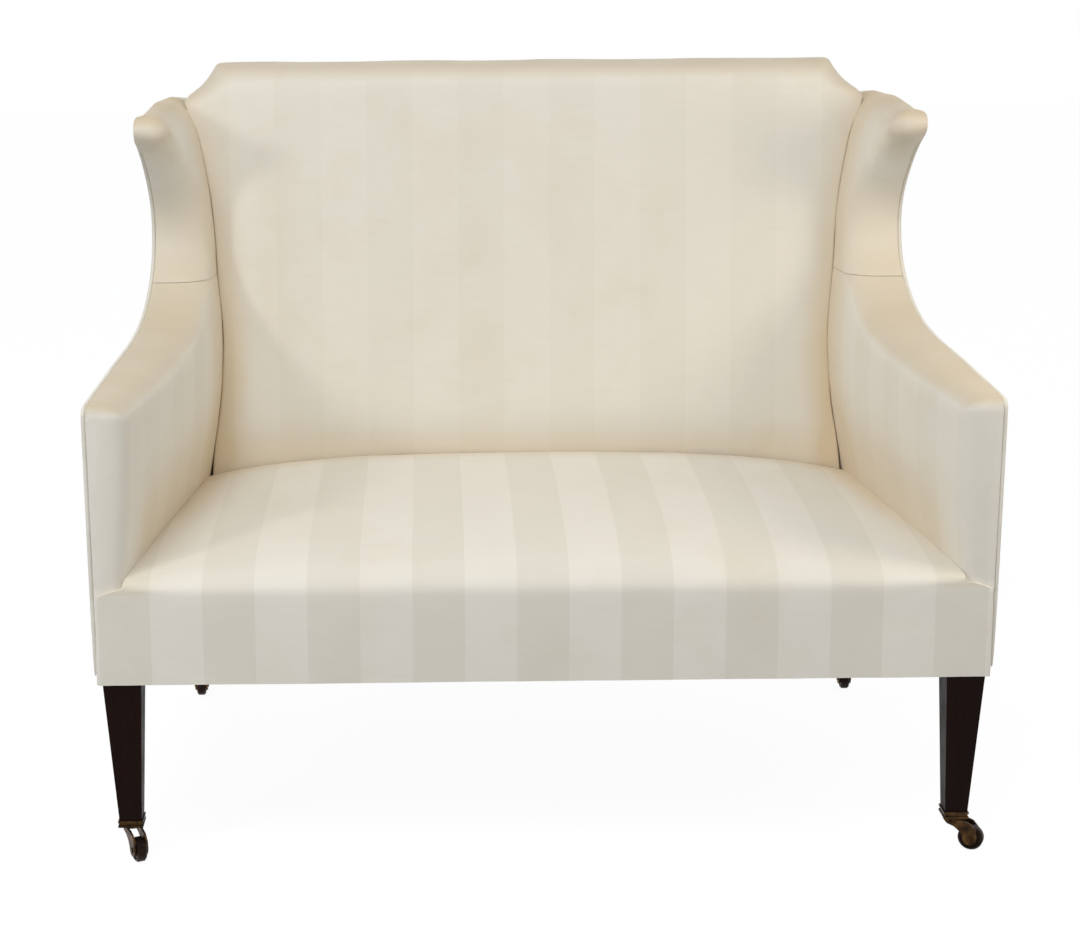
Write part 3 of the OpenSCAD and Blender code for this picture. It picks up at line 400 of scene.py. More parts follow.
def smooth(points, steps=2):
    line, last = [], len(points) - 1
    for i in range(last):
        a, b, c, d = (points[max(0, min(last, i + n))] for n in (-1, 0, 1, 2))
        for j in range(steps):
            k = j / steps
            line.append(tuple(0.5 * (2 * q + (r - p) * k + (2 * p - 5 * q + 4 * r - t) * k * k
                                     + (3 * q - p - 3 * r + t) * k ** 3) for p, q, r, t in zip(a, b, c, d)))
    return line + [tuple(points[-1])]


def gap_to(point, line):
    """Distance from a point to a line through points."""
    best = 1e9
    for a, b in zip(line, line[1:]):
        run = (b[0] - a[0], b[1] - a[1])
        k = ((point[0] - a[0]) * run[0] + (point[1] - a[1]) * run[1]) / (run[0] ** 2 + run[1] ** 2)
        k = min(max(k, 0.0), 1.0)
        best = min(best, math.hypot(point[0] - a[0] - k * run[0], point[1] - a[1] - k * run[1]))
    return best


# %% Outline of a side, as depth and height
SIDE_TURN = math.atan(51 / 715)
RAKE = math.radians(6.1)
MID = 377.74  # from the fronts of the arms to the middle of the floor plan
HALF = 630  # from the middle to the front of a side's outer plane
ARM_H, SEAM_H, WAIST_Y, WAIST_H = 668, 753, 578, 838
TIP_Y, TIP_H, WING_H = 447, 988, 1028
SEAT_H, DEPTH, BAND_H, BAND_Y, APRON_H = 426, 603, 398, 6, 266
BACK_DEEP, SKIN_END = 74.7, 41.7  # from the face of the back to its rear and to the ends of the sides' skins
FRONT_EDGE, WING_EDGE, BACK_EDGE = 28, 40, 44  # radii of the padded edges
CORNER = 18
LEAN = 14  # how far the fronts of the arms lean back at the foot


def face_y(z):
    """Depth of the leaning face of the back at a height."""
    return DEPTH + (z - SEAT_H) * math.tan(RAKE)


def behind(z, gap):
    return face_y(z) + gap / math.cos(RAKE)


def at_top(a, b):
    return mix(TIP_Y, face_y(WING_H), a), mix(TIP_H, WING_H, b)


corner_turns = [i * math.pi / 8 for i in range(5)]
corner_line = [(CORNER * (1 - math.cos(a)), ARM_H - CORNER * (1 - math.sin(a))) for a in corner_turns]
arm_line = smooth([corner_line[4]] + [(a * WAIST_Y, mix(ARM_H, WAIST_H, b)) for a, b in (
    (0.19, 0.04), (0.38, 0.09), (0.57, 0.125), (0.72, 0.19), (0.80, 0.265), (0.865, 0.36), (0.95, 0.565),
    (0.99, 0.79), (1, 1))])
wing_line = smooth([arm_line[-1]] + [(mix(WAIST_Y, TIP_Y, a), mix(WAIST_H, TIP_H, b)) for a, b in (
    (0.04, 0.19), (0.175, 0.39), (0.42, 0.63), (0.656, 0.81), (0.87, 0.93), (1, 1))])
nose_line = [at_top(a, b) for a, b in ((-0.03, 0.16), (-0.042, 0.32), (-0.03, 0.48), (0.01, 0.60))]
top_line = smooth([nose_line[3]] + [at_top(a, b) for a, b in (
    (0.08, 0.70), (0.20, 0.76), (0.42, 0.87), (0.62, 1.0), (0.78, 1.06), (1, 1))])
arm_top = corner_line + arm_line
wing_front = [p for p in arm_line if p[1] > SEAM_H - FRONT_EDGE] + wing_line + nose_line
rim_line = [(LEAN, APRON_H)] + corner_line + arm_line[1:] + wing_line[1:] + nose_line + top_line[1:]
rim_line.append((behind(WING_H, 80), WING_H))
print("outline of a side:", len(rim_line), "points")


# %% Padding of a side
PAD_FRONT, PAD_REAR, PAD_SWELL = 40, 70, 25


def low_pad(y):
    """Thickness of a side's padding at the seat line."""
    return mix(PAD_FRONT, PAD_REAR, min(y, DEPTH) / DEPTH)


SWELL = [(0, 0), (0.07, 0.28), (0.17, 0.72), (0.25, 0.88), (0.37, 1), (0.45, 0.84), (0.55, 0.6), (0.65, 0.48),
         (0.74, 0.28), (0.81, 0), (0.9, -0.44), (0.96, -0.92), (1, -1.12)]


def pad(y, z):
    """Thickness of a side's padding, which swells over the arm and draws in at the wing."""
    swell = PAD_SWELL * mix(0.45, 1, ease(y / (DEPTH * 0.45)))
    return (low_pad(y) - max(0, y - face_y(z)) * math.tan(SIDE_TURN)
            + swell * read_off(SWELL, (z - SEAT_H) / (WING_H - SEAT_H)))


def edge_radius(z):
    return mix(FRONT_EDGE, WING_EDGE, ease((z - ARM_H) / (WAIST_H - ARM_H)))


def on_side(y, z, sign):
    """The place on a side's skin over a point of its outline plane."""
    x = -pad(y, z) * edge(gap_to((y, z), rim_line) / edge_radius(z))
    turned = HALF + x * math.cos(SIDE_TURN) - y * math.sin(SIDE_TURN)
    return sign * turned, x * math.sin(SIDE_TURN) + y * math.cos(SIDE_TURN) - MID, z


def inside(y, padding):
    """Half the room between the sides at a depth, where they are padded that much."""
    return HALF - y * math.tan(SIDE_TURN) - padding / math.cos(SIDE_TURN)


NEAR = (0, 0.012, 0.045, 0.1, 0.18, 0.28, 0.41, 0.57, 0.77, 1)


def steps(count):
    """Steps over a surface: close ones round its padded edge, then even ones."""
    return [(s, 0.0) for s in NEAR] + [(1.0, i / count) for i in range(1, count + 1)]


def reach(step, radius, full):
    """Where a step lies between 0 and full, for an edge of that radius."""
    return step[0] * radius + step[1] * (full - radius)


seam_y = read_off(wing_front, SEAM_H, 1)
seam_run = behind(SEAM_H, SKIN_END) - FRONT_EDGE
seam_share = (seam_y - FRONT_EDGE) / seam_run
arm_columns = steps(0) + [(1.0, seam_share * i / 14) for i in range(1, 14)]
arm_columns += [(1.0, seam_share - gap / seam_run) for gap in (9, 2, 0.4, 0)]
arm_columns += [(1.0, seam_share + s * FRONT_EDGE / seam_run) for s in NEAR[1:]]
arm_columns += [(1.0, mix(seam_share + FRONT_EDGE / seam_run, 1, i / 5)) for i in range(1, 6)]
ARM_FOOT = SEAT_H + 2
FOOT_DROP = ARM_FOOT - BAND_H + 3


def arm_place(u, v):
    """A point of an arm's cloth above the seat, by its steps from the front and from the top."""
    lean = LEAN * (ARM_H - CORNER - ARM_FOOT) / (ARM_H - CORNER - APRON_H)
    y1 = reach(u, FRONT_EDGE, behind(SEAM_H, SKIN_END))
    y0 = lean + reach(u, FRONT_EDGE, behind(ARM_FOOT, SKIN_END) - lean)
    z1 = read_off(arm_top, y1) if y1 < seam_y - 0.01 else SEAM_H
    k = reach(v, FRONT_EDGE, z1 - ARM_FOOT) / (z1 - ARM_FOOT)
    return mix(y1, y0, k), mix(z1, ARM_FOOT, k)


def arm_foot(u, drop):
    """Below the seat line the arm's cloth runs straight on down its front."""
    (y1, z1), (y0, z0) = arm_place(u, (0, 0)), arm_place(u, (1, 1))
    return y0 + (y0 - y1) * drop / (z1 - z0), z0 - drop


def forward(point, drop):
    """Brings the foot of the arm's cloth forward to where the band is sewn on."""
    x, y, z = point
    depth = y + MID
    flow = ease((drop - FOOT_DROP + 15) / 15) * (1 - ease((depth - 20) / 30))
    return x, mix(y, BAND_Y + 1.6 - MID, flow), z


WING_FOOT = SEAM_H + 0.7


def wing_place(u, v):
    """A point of a wing's cloth, by its steps from the front and from the top."""
    nose_y, top = nose_line[-1]
    k = reach(v, WING_EDGE, top - WING_FOOT) / (top - WING_FOOT)
    zf, zr = mix(top, WING_FOOT, k), mix(WING_H, WING_FOOT, k)
    yf = read_off(wing_front, zf, 1)
    turn_in = min(max((zr - WING_H + WING_EDGE + 0.3) / (WING_EDGE * 0.35), 0), 1)
    y = yf + reach(u, WING_EDGE, behind(zr, mix(SKIN_END, BACK_DEEP, turn_in)) - yf)
    y_top = nose_y + reach(u, WING_EDGE, behind(WING_H, BACK_DEEP) - nose_y)
    z1 = max(top, read_off(top_line, y_top))
    return y, mix(z1, WING_FOOT, k)


# %% [markdown]
# ## The seat and the inside back
# One length of cloth covers the seat and runs down over its front edge to the bottom of the rail.
# Another covers the back and turns over its top. On both the stripes run from back to front or up and
# down, and a stripe lies on the middle of the settee.

# %% The seat cover
CORNER_RISE, SEAT_CORNER = 9, 560  # the seam's climb to the seat's corner, and where it starts
SEAT_CROWN, BACK_CROWN, CROWN_POWER = 36, 16, 3.4


def seat_across(p):
    """The stripes of the seat run a little to one side of those of the back, less so toward it."""
    return p.x + 0.002 * min(-min(p.y, 0.0) / 0.3, 1.0)


ACROSS = (0, 0.1, 0.2, 0.3, 0.4, 0.49, 0.58, 0.65, 0.72, 0.78, 0.83, 0.87, 0.90, 0.93, 0.95, 0.968,
          0.98, 0.99, 1)
across = [-a for a in ACROSS[:0:-1]] + list(ACROSS)
SEAT = ((0.0, 0.01, 0), (0.004, 0.25, 0.03), (0.014, 0.42, 0.14), (0.032, 0.52, 0.34), (0.06, 0.60, 0.57),
        (0.11, 0.66, 0.78), (0.18, 0.72, 0.93), (0.28, 0.80, 1.06), (0.40, 0.88, 1.12), (0.55, 0.95, 1.10),
        (0.72, 0.99, 1.05), (0.88, 1, 1.0), (1, 1, 0.95))


def band_top(x):
    """Height of the band's seam, which climbs to the seat's corner on the front of an arm."""
    up, down = ease((abs(x) - SEAT_CORNER) / 28), 1 - ease((abs(x) - SEAT_CORNER - 32) / 36)
    return BAND_H + CORNER_RISE * down * up


def on_seat(profile, u):
    seam = BAND_H + CORNER_RISE * abs(u) ** 12
    z = mix(seam, SEAT_H, profile[1]) + SEAT_CROWN * profile[2] * (1 - abs(u) ** CROWN_POWER)
    y = mix(BAND_Y, face_y(z) - 0.6, profile[0])
    return u * (inside(y, low_pad(y)) + 0.8), y - MID, z


def softened(rows, first, last, rounds):
    """Rolls the cloth softly over an edge: every point moves toward its neighbours along the stripe."""
    for _ in range(rounds):
        for i in range(first, last):
            for j, u in enumerate(across):
                a, b, c = (Vector(rows[n][j]) for n in (i - 1, i, i + 1))
                rows[i][j] = tuple(b.lerp((a + 2 * b + c) / 4, 1 - abs(u) ** 6))
    return rows


def hemmed(rows, depths):
    """Adds turned-in cloth at both ends of each row; depths gives its steps for a row's number."""
    for i, row in enumerate(rows):
        turned = [[tuple(Vector(row[end]) + Vector(step)) for step in depths(i)] for end in (0, -1)]
        rows[i] = turned[0][::-1] + row + turned[1]
    return rows


band_half = inside(BAND_Y, 0) - 0.3
BAND_SHARES = (0, 0.3, 0.55, 0.75, 0.88, 0.95, 1)
rows = [[(u * band_half, BAND_Y - MID, mix(APRON_H, band_top(u * band_half), k)) for u in across]
        for k in BAND_SHARES]
rows += [[on_seat(p, u) for u in across] for p in smooth(SEAT, 2)]
softened(rows, 4, 14, 5)


def seat_hem(i):
    """The hem turns in behind the band at its ends, and down between seat and arm beyond it."""
    past = i - len(BAND_SHARES)
    return ((0, 6, 0), (0, 16, 0)) if past < 0 else ((0, max(0, 3 - past), -3), (0, max(0, 9 - past), -20))


hemmed(rows, seat_hem)
rows.append([(x, y + 2, z - 22) for x, y, z in rows[-1]])
seat_skin = from_rows("seat_skin", rows)
rounded(seat_skin, 1)
ripple(seat_skin, 0.0014, 0.10)
thickened(seat_skin, (0, -0.3, 1))


def seat_shade(p):
    """Painted shade on the seat lies in its folds beside the arms, deeper toward the back, and along the
    back.
    """
    depth = p.y + MID
    half = inside(depth, low_pad(depth))
    beside = (1 - ease((half - abs(p.x)) / 75)) * mix(0.25, 1, ease((depth - 150) / 300))
    return (0.0 if p.z < BAND_H else beside + 0.8 * (1 - ease((face_y(p.z) - depth) / 70)))


paint_shade(seat_skin, seat_shade)
lay(seat_skin, seat_across, lambda p: p.y - p.z)
dress(seat_skin, seat_satin, "seat_cover")
print("seat skin:", len(seat_skin.data.polygons), "faces")

# %% The inside back cover
wing_rise = (WING_H - SEAT_H) / math.cos(RAKE)
BACK_TOP = wing_rise + 62.6
SHOULDER_DRAW = 39.5
BACK_SHIFT = 0.0014


def inner_half(z):
    return inside(face_y(z), pad(face_y(z), z)) - 1.6


foot_half = inner_half(WING_H)
own_shoulder = smooth([(foot_half - SHOULDER_DRAW * a, mix(wing_rise, BACK_TOP, b)) for a, b in (
    (0, 0), (0.30, 0.10), (0.62, 0.41), (0.84, 0.71), (0.94, 0.87), (1.02, 0.95), (1.15, 0.99), (1.32, 1))])


def round_wing(z):
    """How much wider the back is beside the rounded top of a wing than it would be beside a square one."""
    rim = gap_to((face_y(min(z, WING_H)), min(z, WING_H)), rim_line)
    return pad(face_y(WING_H), WING_H) * (1 - edge(max(rim, 6) / WING_EDGE))


shoulder = [(x + round_wing(WING_H) * (1 - ease((h - wing_rise) / 62)), h)
            for x, h in smooth(own_shoulder, 3)]
free_line = shoulder + [(0, BACK_TOP)]
RAIL_TOP = 361.9
back_low = (RAIL_TOP - SEAT_H + BACK_DEEP * math.sin(RAKE)) / math.cos(RAKE)


def back_half(h):
    """Half the width of the back: it follows the rounded top of the wings, then its own shoulders."""
    z = SEAT_H + h * math.cos(RAKE)
    return inner_half(z) + 1.9 + round_wing(z) if h < wing_rise else read_off(shoulder, h, 1) + 0.3


def on_back(u, h, sink):
    """A point of the back's cloth, by its share of the width and its rise, sunk in behind the face."""
    x = u * back_half(h)
    swell = BACK_CROWN * (1 - abs(u) ** CROWN_POWER) * ease(h / BACK_EDGE - 1)
    full = max(edge(gap_to((abs(x), h), free_line) / BACK_EDGE), 1 - ease((h - wing_rise + 10) / 45))
    stop = BACK_DEEP - (2.7 if h < wing_rise else 0.4)  # just before the rear panel
    depth = min(BACK_DEEP - (BACK_DEEP + swell) * full + sink, stop)
    y = DEPTH + depth * math.cos(RAKE) + h * math.sin(RAKE) - MID
    return x, y, SEAT_H + h * math.cos(RAKE) - depth * math.sin(RAKE)


heights = [back_low] + [mix(BACK_EDGE, wing_rise, i / 18) for i in range(19)]
heights += [h for h in [BACK_TOP - BACK_EDGE * n for n in NEAR[::-1]] if h > wing_rise + 1]
tucks = [-20, -3] + [0] * len(across) + [3, 20]
columns = [-1, -1] + across + [1, 1]
# Beside a wing the cloth is tucked in; above the wings it goes on round the shoulder to the rear panel
wraps = [tuck if abs(tuck) < 20 else 90 for tuck in tucks]
rows = [[on_back(u, h, abs(sink)) for u, sink in zip(columns, tucks if h < wing_rise else wraps)]
        for h in heights]
back_skin = from_rows("back_skin", rows)
rounded(back_skin, 1, "ALL")
ripple(back_skin, 0.0014, 0.12)
thickened(back_skin, (0, -1, 0.2))


def back_shade(p):
    """Painted shade on the back lies in its folds beside the wings, less so higher up, and along the seat."""
    h = (p.z - SEAT_H) / math.cos(RAKE)
    beside = (1 - ease((back_half(h) - abs(p.x)) / 60)) * (1 - 0.6 * ease((h - 120) / 420))
    return beside + 0.5 * (1 - ease((h - 30) / 60))


paint_shade(back_skin, back_shade)
lay(back_skin, lambda p: p.x - BACK_SHIFT, lambda p: p.z + p.y)
dress(back_skin, back_satin, "inside_back_cover")
print("back skin:", len(back_skin.data.polygons), "faces")

# %% [markdown]
# ## The arms and the wings
# The arm's cloth comes up the front, turns round the corner and runs back along the inside, so its
# stripes stand upright on both. Above the arm a second piece covers the wing, and the two meet in a
# seam at the waist. The measure across the stripes is the way round the front corner: the width of the
# front and then the depth.

# %% The covers of the sides
MID_Y = MID / 1000
SIDE_EDGE = 0.030
SIDE_PAD = 0.050


def side_depth(p):
    """How far a point of a side lies behind the front of the arm, along that side."""
    x, y = abs(p.x) - HALF / 1000, p.y + MID_Y
    up = min((p.z * 1000 - APRON_H) / (ARM_H - CORNER - APRON_H), 1)
    return y * math.cos(SIDE_TURN) - x * math.sin(SIDE_TURN) - LEAN / 1000 * (1 - up)


def round_corner(depth):
    """The way along the cloth for a depth: the rounded front edge holds the width of the front."""
    return depth - SIDE_PAD * (1 - edge(depth / SIDE_EDGE))


def side_shade(p):
    """Painted shade on a side lies toward the back and over the seat, and in the same tone on a wing's nose.
    """
    depth = p.y + MID
    beside_back = 1 - ease((face_y(p.z) - depth) / 140)
    above_seat = 1 - ease((p.z - SEAT_H - 40) / 130)
    nose = 1 - ease((p - 1000 * nose_middle(math.copysign(1, p.x), 20, 0)).length / 120)
    return 0.9 * beside_back + above_seat * 0.7 * ease((depth - 40) / 120) + 0.6 * nose


def puff(piece, step, middle, width):
    """Swells a piece near one point."""
    push(piece, lambda p: step * (1 - ease((p - middle).length / width)))


def nose_middle(sign, behind_front, above):
    """A place on a wing, from the foremost point of its padded nose."""
    y, z = nose_line[1]
    return Vector(on_side(y + behind_front, z + above, sign)) / 1000


for side in ("left", "right"):
    sign = -1 if side == "left" else 1
    for part in ("arm", "wing"):
        node = f"{part}_cover_{side}"
        place, columns = (arm_place, arm_columns) if part == "arm" else (wing_place, steps(8))
        rows = [[on_side(*place(u, v), sign) for u in columns] for v in steps(10)]
        if part == "arm":
            for drop in [FOOT_DROP - d for d in (23, 15, 10, 6, 3, 1, 0)]:
                rows.append([forward(on_side(*arm_foot(u, drop), sign), drop) for u in columns])
        skin = from_rows(f"{part}_skin_{side}", rows)
        rounded(skin, 1)
        ripple(skin, 0.0011, 0.09)
        thickened(skin, (-sign, 0, 0))
        if part == "wing":
            puff(skin, 0.014, nose_middle(sign, 18, 2), 0.058)
            puff(skin, -0.007, nose_middle(sign, 8, -58), 0.036)
        paint_shade(skin, side_shade)
        lay(skin, lambda p: round_corner(side_depth(p)), lambda p: p.z + sign * p.x)
        dress(skin, side_satin, node)
        print(skin.name, len(skin.data.polygons), "faces")

# %% [markdown]
# ## Piping, closing panels and the dust cloth
# A cord in a bias strip of the same cloth is sewn between the cover and the panel that closes the side.
# The panels and the cloth on the back are plain flat sheets, tacked last. Under the rails a black dust
# cloth closes the seat. The panels are cut into a grid first, so that they can carry the slight waves
# of tacked cloth.

# %% The piping
for side in ("left", "right"):
    welt = lifted(f"welt_{side}", f"piping_{side}")
    rounded(welt, 2)
    push(welt, lambda p: 0.0002)
    lay(welt, lambda p: 0.7 * (p.z - p.y) + 0.02, lambda p: 0.7 * (p.z + p.y))
    dress(welt, plain_satin, f"welt_{side}")


# %% Flat sheets
def gridded(piece, step, axes):
    """Cuts a flat piece across at even steps, so that its faces can bend."""
    mesh = bmesh.new()
    mesh.from_mesh(piece.data)
    bmesh.ops.dissolve_limit(mesh, angle_limit=math.radians(0.5), verts=mesh.verts[:], edges=mesh.edges[:])
    for axis in axes:
        low, high = (f(v.co[axis] for v in mesh.verts) for f in (min, max))
        for i in range(1, math.ceil((high - low) / step)):
            where, normal = Vector(), Vector()
            where[axis], normal[axis] = low + i * step, 1
            everything = mesh.verts[:] + mesh.edges[:] + mesh.faces[:]
            bmesh.ops.bisect_plane(mesh, geom=everything, plane_co=where, plane_no=normal)
    mesh.to_mesh(piece.data)
    mesh.free()


def waved(piece, axis, depth, size, hold):
    """Lets a flat sheet sink in gentle waves, with its rim held where it is tacked."""
    low, high = ([f(v.co[i] for v in piece.data.vertices) for i in range(3)] for f in (min, max))
    flat = [i for i in range(3) if i != axis]
    for v in piece.data.vertices:
        rim = min(min(v.co[i] - low[i], high[i] - v.co[i]) for i in flat)
        free = min(rim / hold, 1.0) ** 2
        a, b = (v.co[i] / size for i in flat)
        wave = math.sin(a * 2.1 + 1.3 * math.sin(b * 1.7)) + math.sin(b * 2.9 + a * 0.6)
        v.co[axis] += depth * free * 0.5 * wave


for side in ("left", "right"):
    sign = -1 if side == "left" else 1
    node = f"outside_arm_panel_{side}"
    panel = lifted(node, f"side_panel_{side}")
    gridded(panel, 0.03, (1, 2))
    waved(panel, 0, 0.0005, 0.09, 0.08)
    lay(panel, side_depth, lambda p: p.z)
    dress(panel, plain_satin, node)

# %% The outside back and the dust cloth
rear = lifted("outside_back_cover", "rear_panel")
gridded(rear, 0.03, (0, 2))
# The panel follows the shoulders of the cover, and reaches up to the ends of the wings beside them
for v in rear.data.vertices:
    up = (v.co.z * 1000 - SEAT_H + BACK_DEEP * math.sin(RAKE)) / math.cos(RAKE)
    if up > wing_rise:
        if abs(v.co.x) * 1000 > read_off(own_shoulder, up, 1) - 2.5:
            v.co.x = math.copysign((back_half(min(up, BACK_TOP)) - 1) / 1000, v.co.x)
    elif up > wing_rise - 1.5 and abs(v.co.x) * 1000 > foot_half - 1:
        v.co.z += mix(0.004, 0.0085, ease((abs(v.co.x) * 1000 - foot_half) / 25))
waved(rear, 1, 0.0005, 0.12, 0.08)
lay(rear, lambda p: p.x - BACK_SHIFT, lambda p: p.z)
dress(rear, plain_satin, "outside_back_cover")

dust = Finish("black_dust_cloth")
hair = dust.cloud(0.002, dust.place((1, 0.15, 1)), 4)
fluff = dust.cloud(0.09, detail=5.0, rough=0.65).within(0.45, 0.8)
dust_base = dust.tint(fluff, colour(34, 33, 33), colour(66, 62, 57))
dust_cloth = dust.show(base_color=dust_base, roughness=0.85 + hair * 0.1, normal=dust.bump(hair, 0.0003))
under = lifted("dust_cover", "dust_sheet")
gridded(under, 0.04, (0, 1))
waved(under, 2, 0.0003, 0.1, 0.06)
lay(under, lambda p: p.x, lambda p: p.y)
dress(under, dust_cloth, "dust_cover")

# %% [markdown]
# ## Wood
# The legs are mahogany under old dark polish: nearly black in front, browner where hands and light have
# worn it. The hidden frame is plain beech with short flecks. Grain is made of long rings round a line
# that runs with the piece, bent a little by noise, with fine pores along it. The line differs from
# piece to piece, as boards of one tree do.

# %% Mahogany and beech
def wood(name, deep, light, line, sheen):
    """A wood whose grain runs along one axis, with pores and rings."""
    board = Finish(name)
    stretch = [1.0, 1.0, 1.0]
    stretch[line] = 0.06
    grown = board.place(tuple(stretch))
    bend = board.cloud(0.09, board.place(tuple(0.4 if i == line else 1.0 for i in range(3))))
    rings = board.node("TexNoise", {}, {"Vector": grown, "Scale": 55.0, "Detail": 3.0, "Distortion": 0.6})
    pores = board.cloud(0.0012, grown, 2).within(0.60, 0.70)
    worn = board.cloud(0.05, detail=3.0).within(0.42, 0.72)
    base = board.tint(rings * 0.8 + bend * 0.45 - 0.12, deep, light)
    base = board.tint(pores * 0.5, base, tuple(c * 0.45 for c in deep[:3]) + (1.0,))
    base = board.tint(worn * 0.22, base, light)
    relief = board.bump(1 - pores * 0.7 - rings * 0.2, 0.00025)
    return board.show(base_color=base, roughness=sheen + pores * 0.2 + worn * 0.12, normal=relief,
                      coat_weight=0.0, specular_ior_level=0.06 if sheen < 0.5 else 0.4)


ALONG_X, ALONG_Y, ALONG_Z = range(3)
mahogany = wood("dark_mahogany", colour(12, 7, 6), colour(34, 16, 12), ALONG_Z, 0.46)
beech = [wood(f"beech_{a}", colour(178, 140, 98), colour(214, 180, 134), i, 0.62)
         for i, a in enumerate("xyz")]


def finish_node(node, material):
    part = nodes[node]
    if not part.material_slots:
        part.data.materials.append(material)
    for slot in part.material_slots:
        slot.material = material


for node in ("front_leg_left", "front_leg_right", "back_post_left", "back_post_right"):
    finish_node(node, mahogany)
board_axes = {"front_seat_rail": ALONG_X, "back_seat_rail": ALONG_X, "crest_rail": ALONG_X,
              "back_tacking_rail": ALONG_X, "left_seat_rail": ALONG_Y, "right_seat_rail": ALONG_Y,
              "seat_brace": ALONG_Y, "corner_blocks": ALONG_Z, "back_centre_stile": ALONG_Z}
for side in ("left", "right"):
    board_axes |= {f"arm_post_{side}": ALONG_Z, f"arm_rail_{side}": ALONG_Y,
                   f"arm_tacking_rail_{side}": ALONG_Y, f"wing_frame_{side}": ALONG_Z}
for node, axis in board_axes.items():
    finish_node(node, beech[axis])

# %% [markdown]
# ## Brass
# The casters are cast brass that has gone brown in its hollows and stayed bright where it is rubbed.
# The wheels are of a darker brass. Metal shows mostly what it reflects, so
# its clouds of tarnish change the roughness as much as the colour.

# %% Aged brass
def brass(name, bright, brown, rough):
    metal = Finish(name)
    tarnish = metal.cloud(0.012, detail=5.0, rough=0.6).within(0.35, 0.66)
    pits = metal.cloud(0.0016, detail=3.0).within(0.62, 0.72)
    rubbed = metal.cloud(0.0008, metal.place((1, 1, 0.1)), 2)
    base = metal.tint(tarnish, bright, brown)
    base = metal.tint(pits, base, tuple(c * 0.35 for c in brown[:3]) + (1.0,))
    relief = metal.bump(1 - pits + rubbed * 0.15, 0.00012)
    return metal.show(base_color=base, metallic=0.92 - pits * 0.5, normal=relief,
                      roughness=rough + tarnish * 0.22 + pits * 0.2)


cup_brass = brass("aged_brass", colour(92, 66, 36), colour(26, 17, 12), 0.30)
wheel_brass = brass("dark_wheel_brass", colour(40, 27, 22), colour(18, 13, 11), 0.42)
for corner in ("fl", "fr", "bl", "br"):
    for part in ("cup", "fork", "axle"):
        finish_node(f"caster_{part}_{corner}", cup_brass)
    finish_node(f"caster_wheel_{corner}", wheel_brass)

# %% [markdown]
# ## What the cloth hides
# Under the seat cover lie horsehair, hessian, a dozen tied springs and jute webbing, in that order from
# the top. They show only when a cover is taken off, but a reusable settee carries them, so each gets
# its true form: coiled wire, bands that pass over and under each other, and hair that is uneven to the
# touch.

# %% Horsehair stuffing
hair_pad = Finish("curled_horsehair")
curl = hair_pad.node("TexNoise", {}, {"Vector": hair_pad.place(), "Scale": 420.0, "Detail": 5.0,
                                      "Distortion": 2.5})
lump = hair_pad.cloud(0.03, detail=4.0)
hair_base = hair_pad.tint(curl.within(0.38, 0.66), colour(38, 27, 20), colour(112, 88, 64))
horsehair = hair_pad.show(base_color=hair_base, roughness=0.7 + curl * 0.2,
                          normal=hair_pad.bump(curl * 0.6 + lump * 0.4, 0.0018))


def tufted(p):
    """Sinks the hair here and there, by up to about a millimetre."""
    a, b, c = p * 60
    return -0.0006 * (1 + math.sin(a + 1.4 * math.sin(b)) * math.cos(c + 0.8 * math.sin(a)))


for node in ("seat_stuffing", "back_stuffing", "arm_stuffing_left", "arm_stuffing_right",
             "wing_stuffing_left", "wing_stuffing_right"):
    wad = lifted(node, node.replace("stuffing", "hair"))
    modify(wad, "BEVEL", width=0.0025, segments=2, limit_method="ANGLE", angle_limit=CREASE)
    modify(wad, "SUBSURF", levels=1, render_levels=1, subdivision_type="SIMPLE")
    push(wad, tufted)
    lay(wad, lambda p: p.x, lambda p: p.y - p.z)
    dress(wad, horsehair, node)

# %% Hessian, webbing and springs
def plain_weave(name, pitch, warp, weft, gap, rough, depth):
    """Cloth with crossing threads of a given pitch in metres, read from the piece's own flat map."""
    cloth = Finish(name)
    own = cloth.place(own="UV")
    u, v = cloth.split(own)[:2]
    wobble = (cloth.cloud(0.02, own) - 0.5) * 1.2
    a, b = ((way * (2 * math.pi / pitch) + wobble).wave() * 0.5 + 0.5 for way in (u, v))
    over = (u * (math.pi / pitch)).wave() * (v * (math.pi / pitch)).wave() * 0.5 + 0.5
    height = a * (1 - over) + b * over
    base = cloth.tint(over, warp, weft)
    base = cloth.tint(height.within(0.0, 0.45), gap, base)
    base = cloth.tint(cloth.cloud(0.06, own, 4).within(0.5, 0.9) * 0.35, base, gap)
    return cloth.show(base_color=base, roughness=rough, normal=cloth.bump(height, depth))


hessian = plain_weave("jute_hessian", 0.0022, colour(176, 146, 100), colour(160, 130, 88), colour(70, 54, 36),
                      0.9, 0.0006)
webbing = plain_weave("jute_webbing", 0.0030, colour(188, 160, 116), colour(166, 138, 96), colour(84, 64, 42),
                      0.88, 0.0008)
ground_sheet = lifted("seat_hessian", "hessian_sheet")
gridded(ground_sheet, 0.04, (0, 1))
lay(ground_sheet, lambda p: p.x, lambda p: p.y)
dress(ground_sheet, hessian, "seat_hessian")

# %% [markdown]
# ### Springs and webbing
# Each spring is one wire wound round a waist. A curve with a round section follows the wire's own
# path, because a turned solid would not show the wire passing over itself. The webbing is two sets of
# flat bands: every crossing goes over one band and under the next, which is what makes it carry weight.

# %% Coil springs
wire = Finish("spring_wire")
patina = wire.cloud(0.02, detail=4.0).within(0.4, 0.7)
wire_base = wire.tint(patina, colour(122, 112, 104), colour(86, 62, 44))
spring_steel = wire.show(base_color=wire_base, metallic=0.8, roughness=0.38 + patina * 0.3,
                         normal=wire.bump(wire.cloud(0.001), 0.0001))


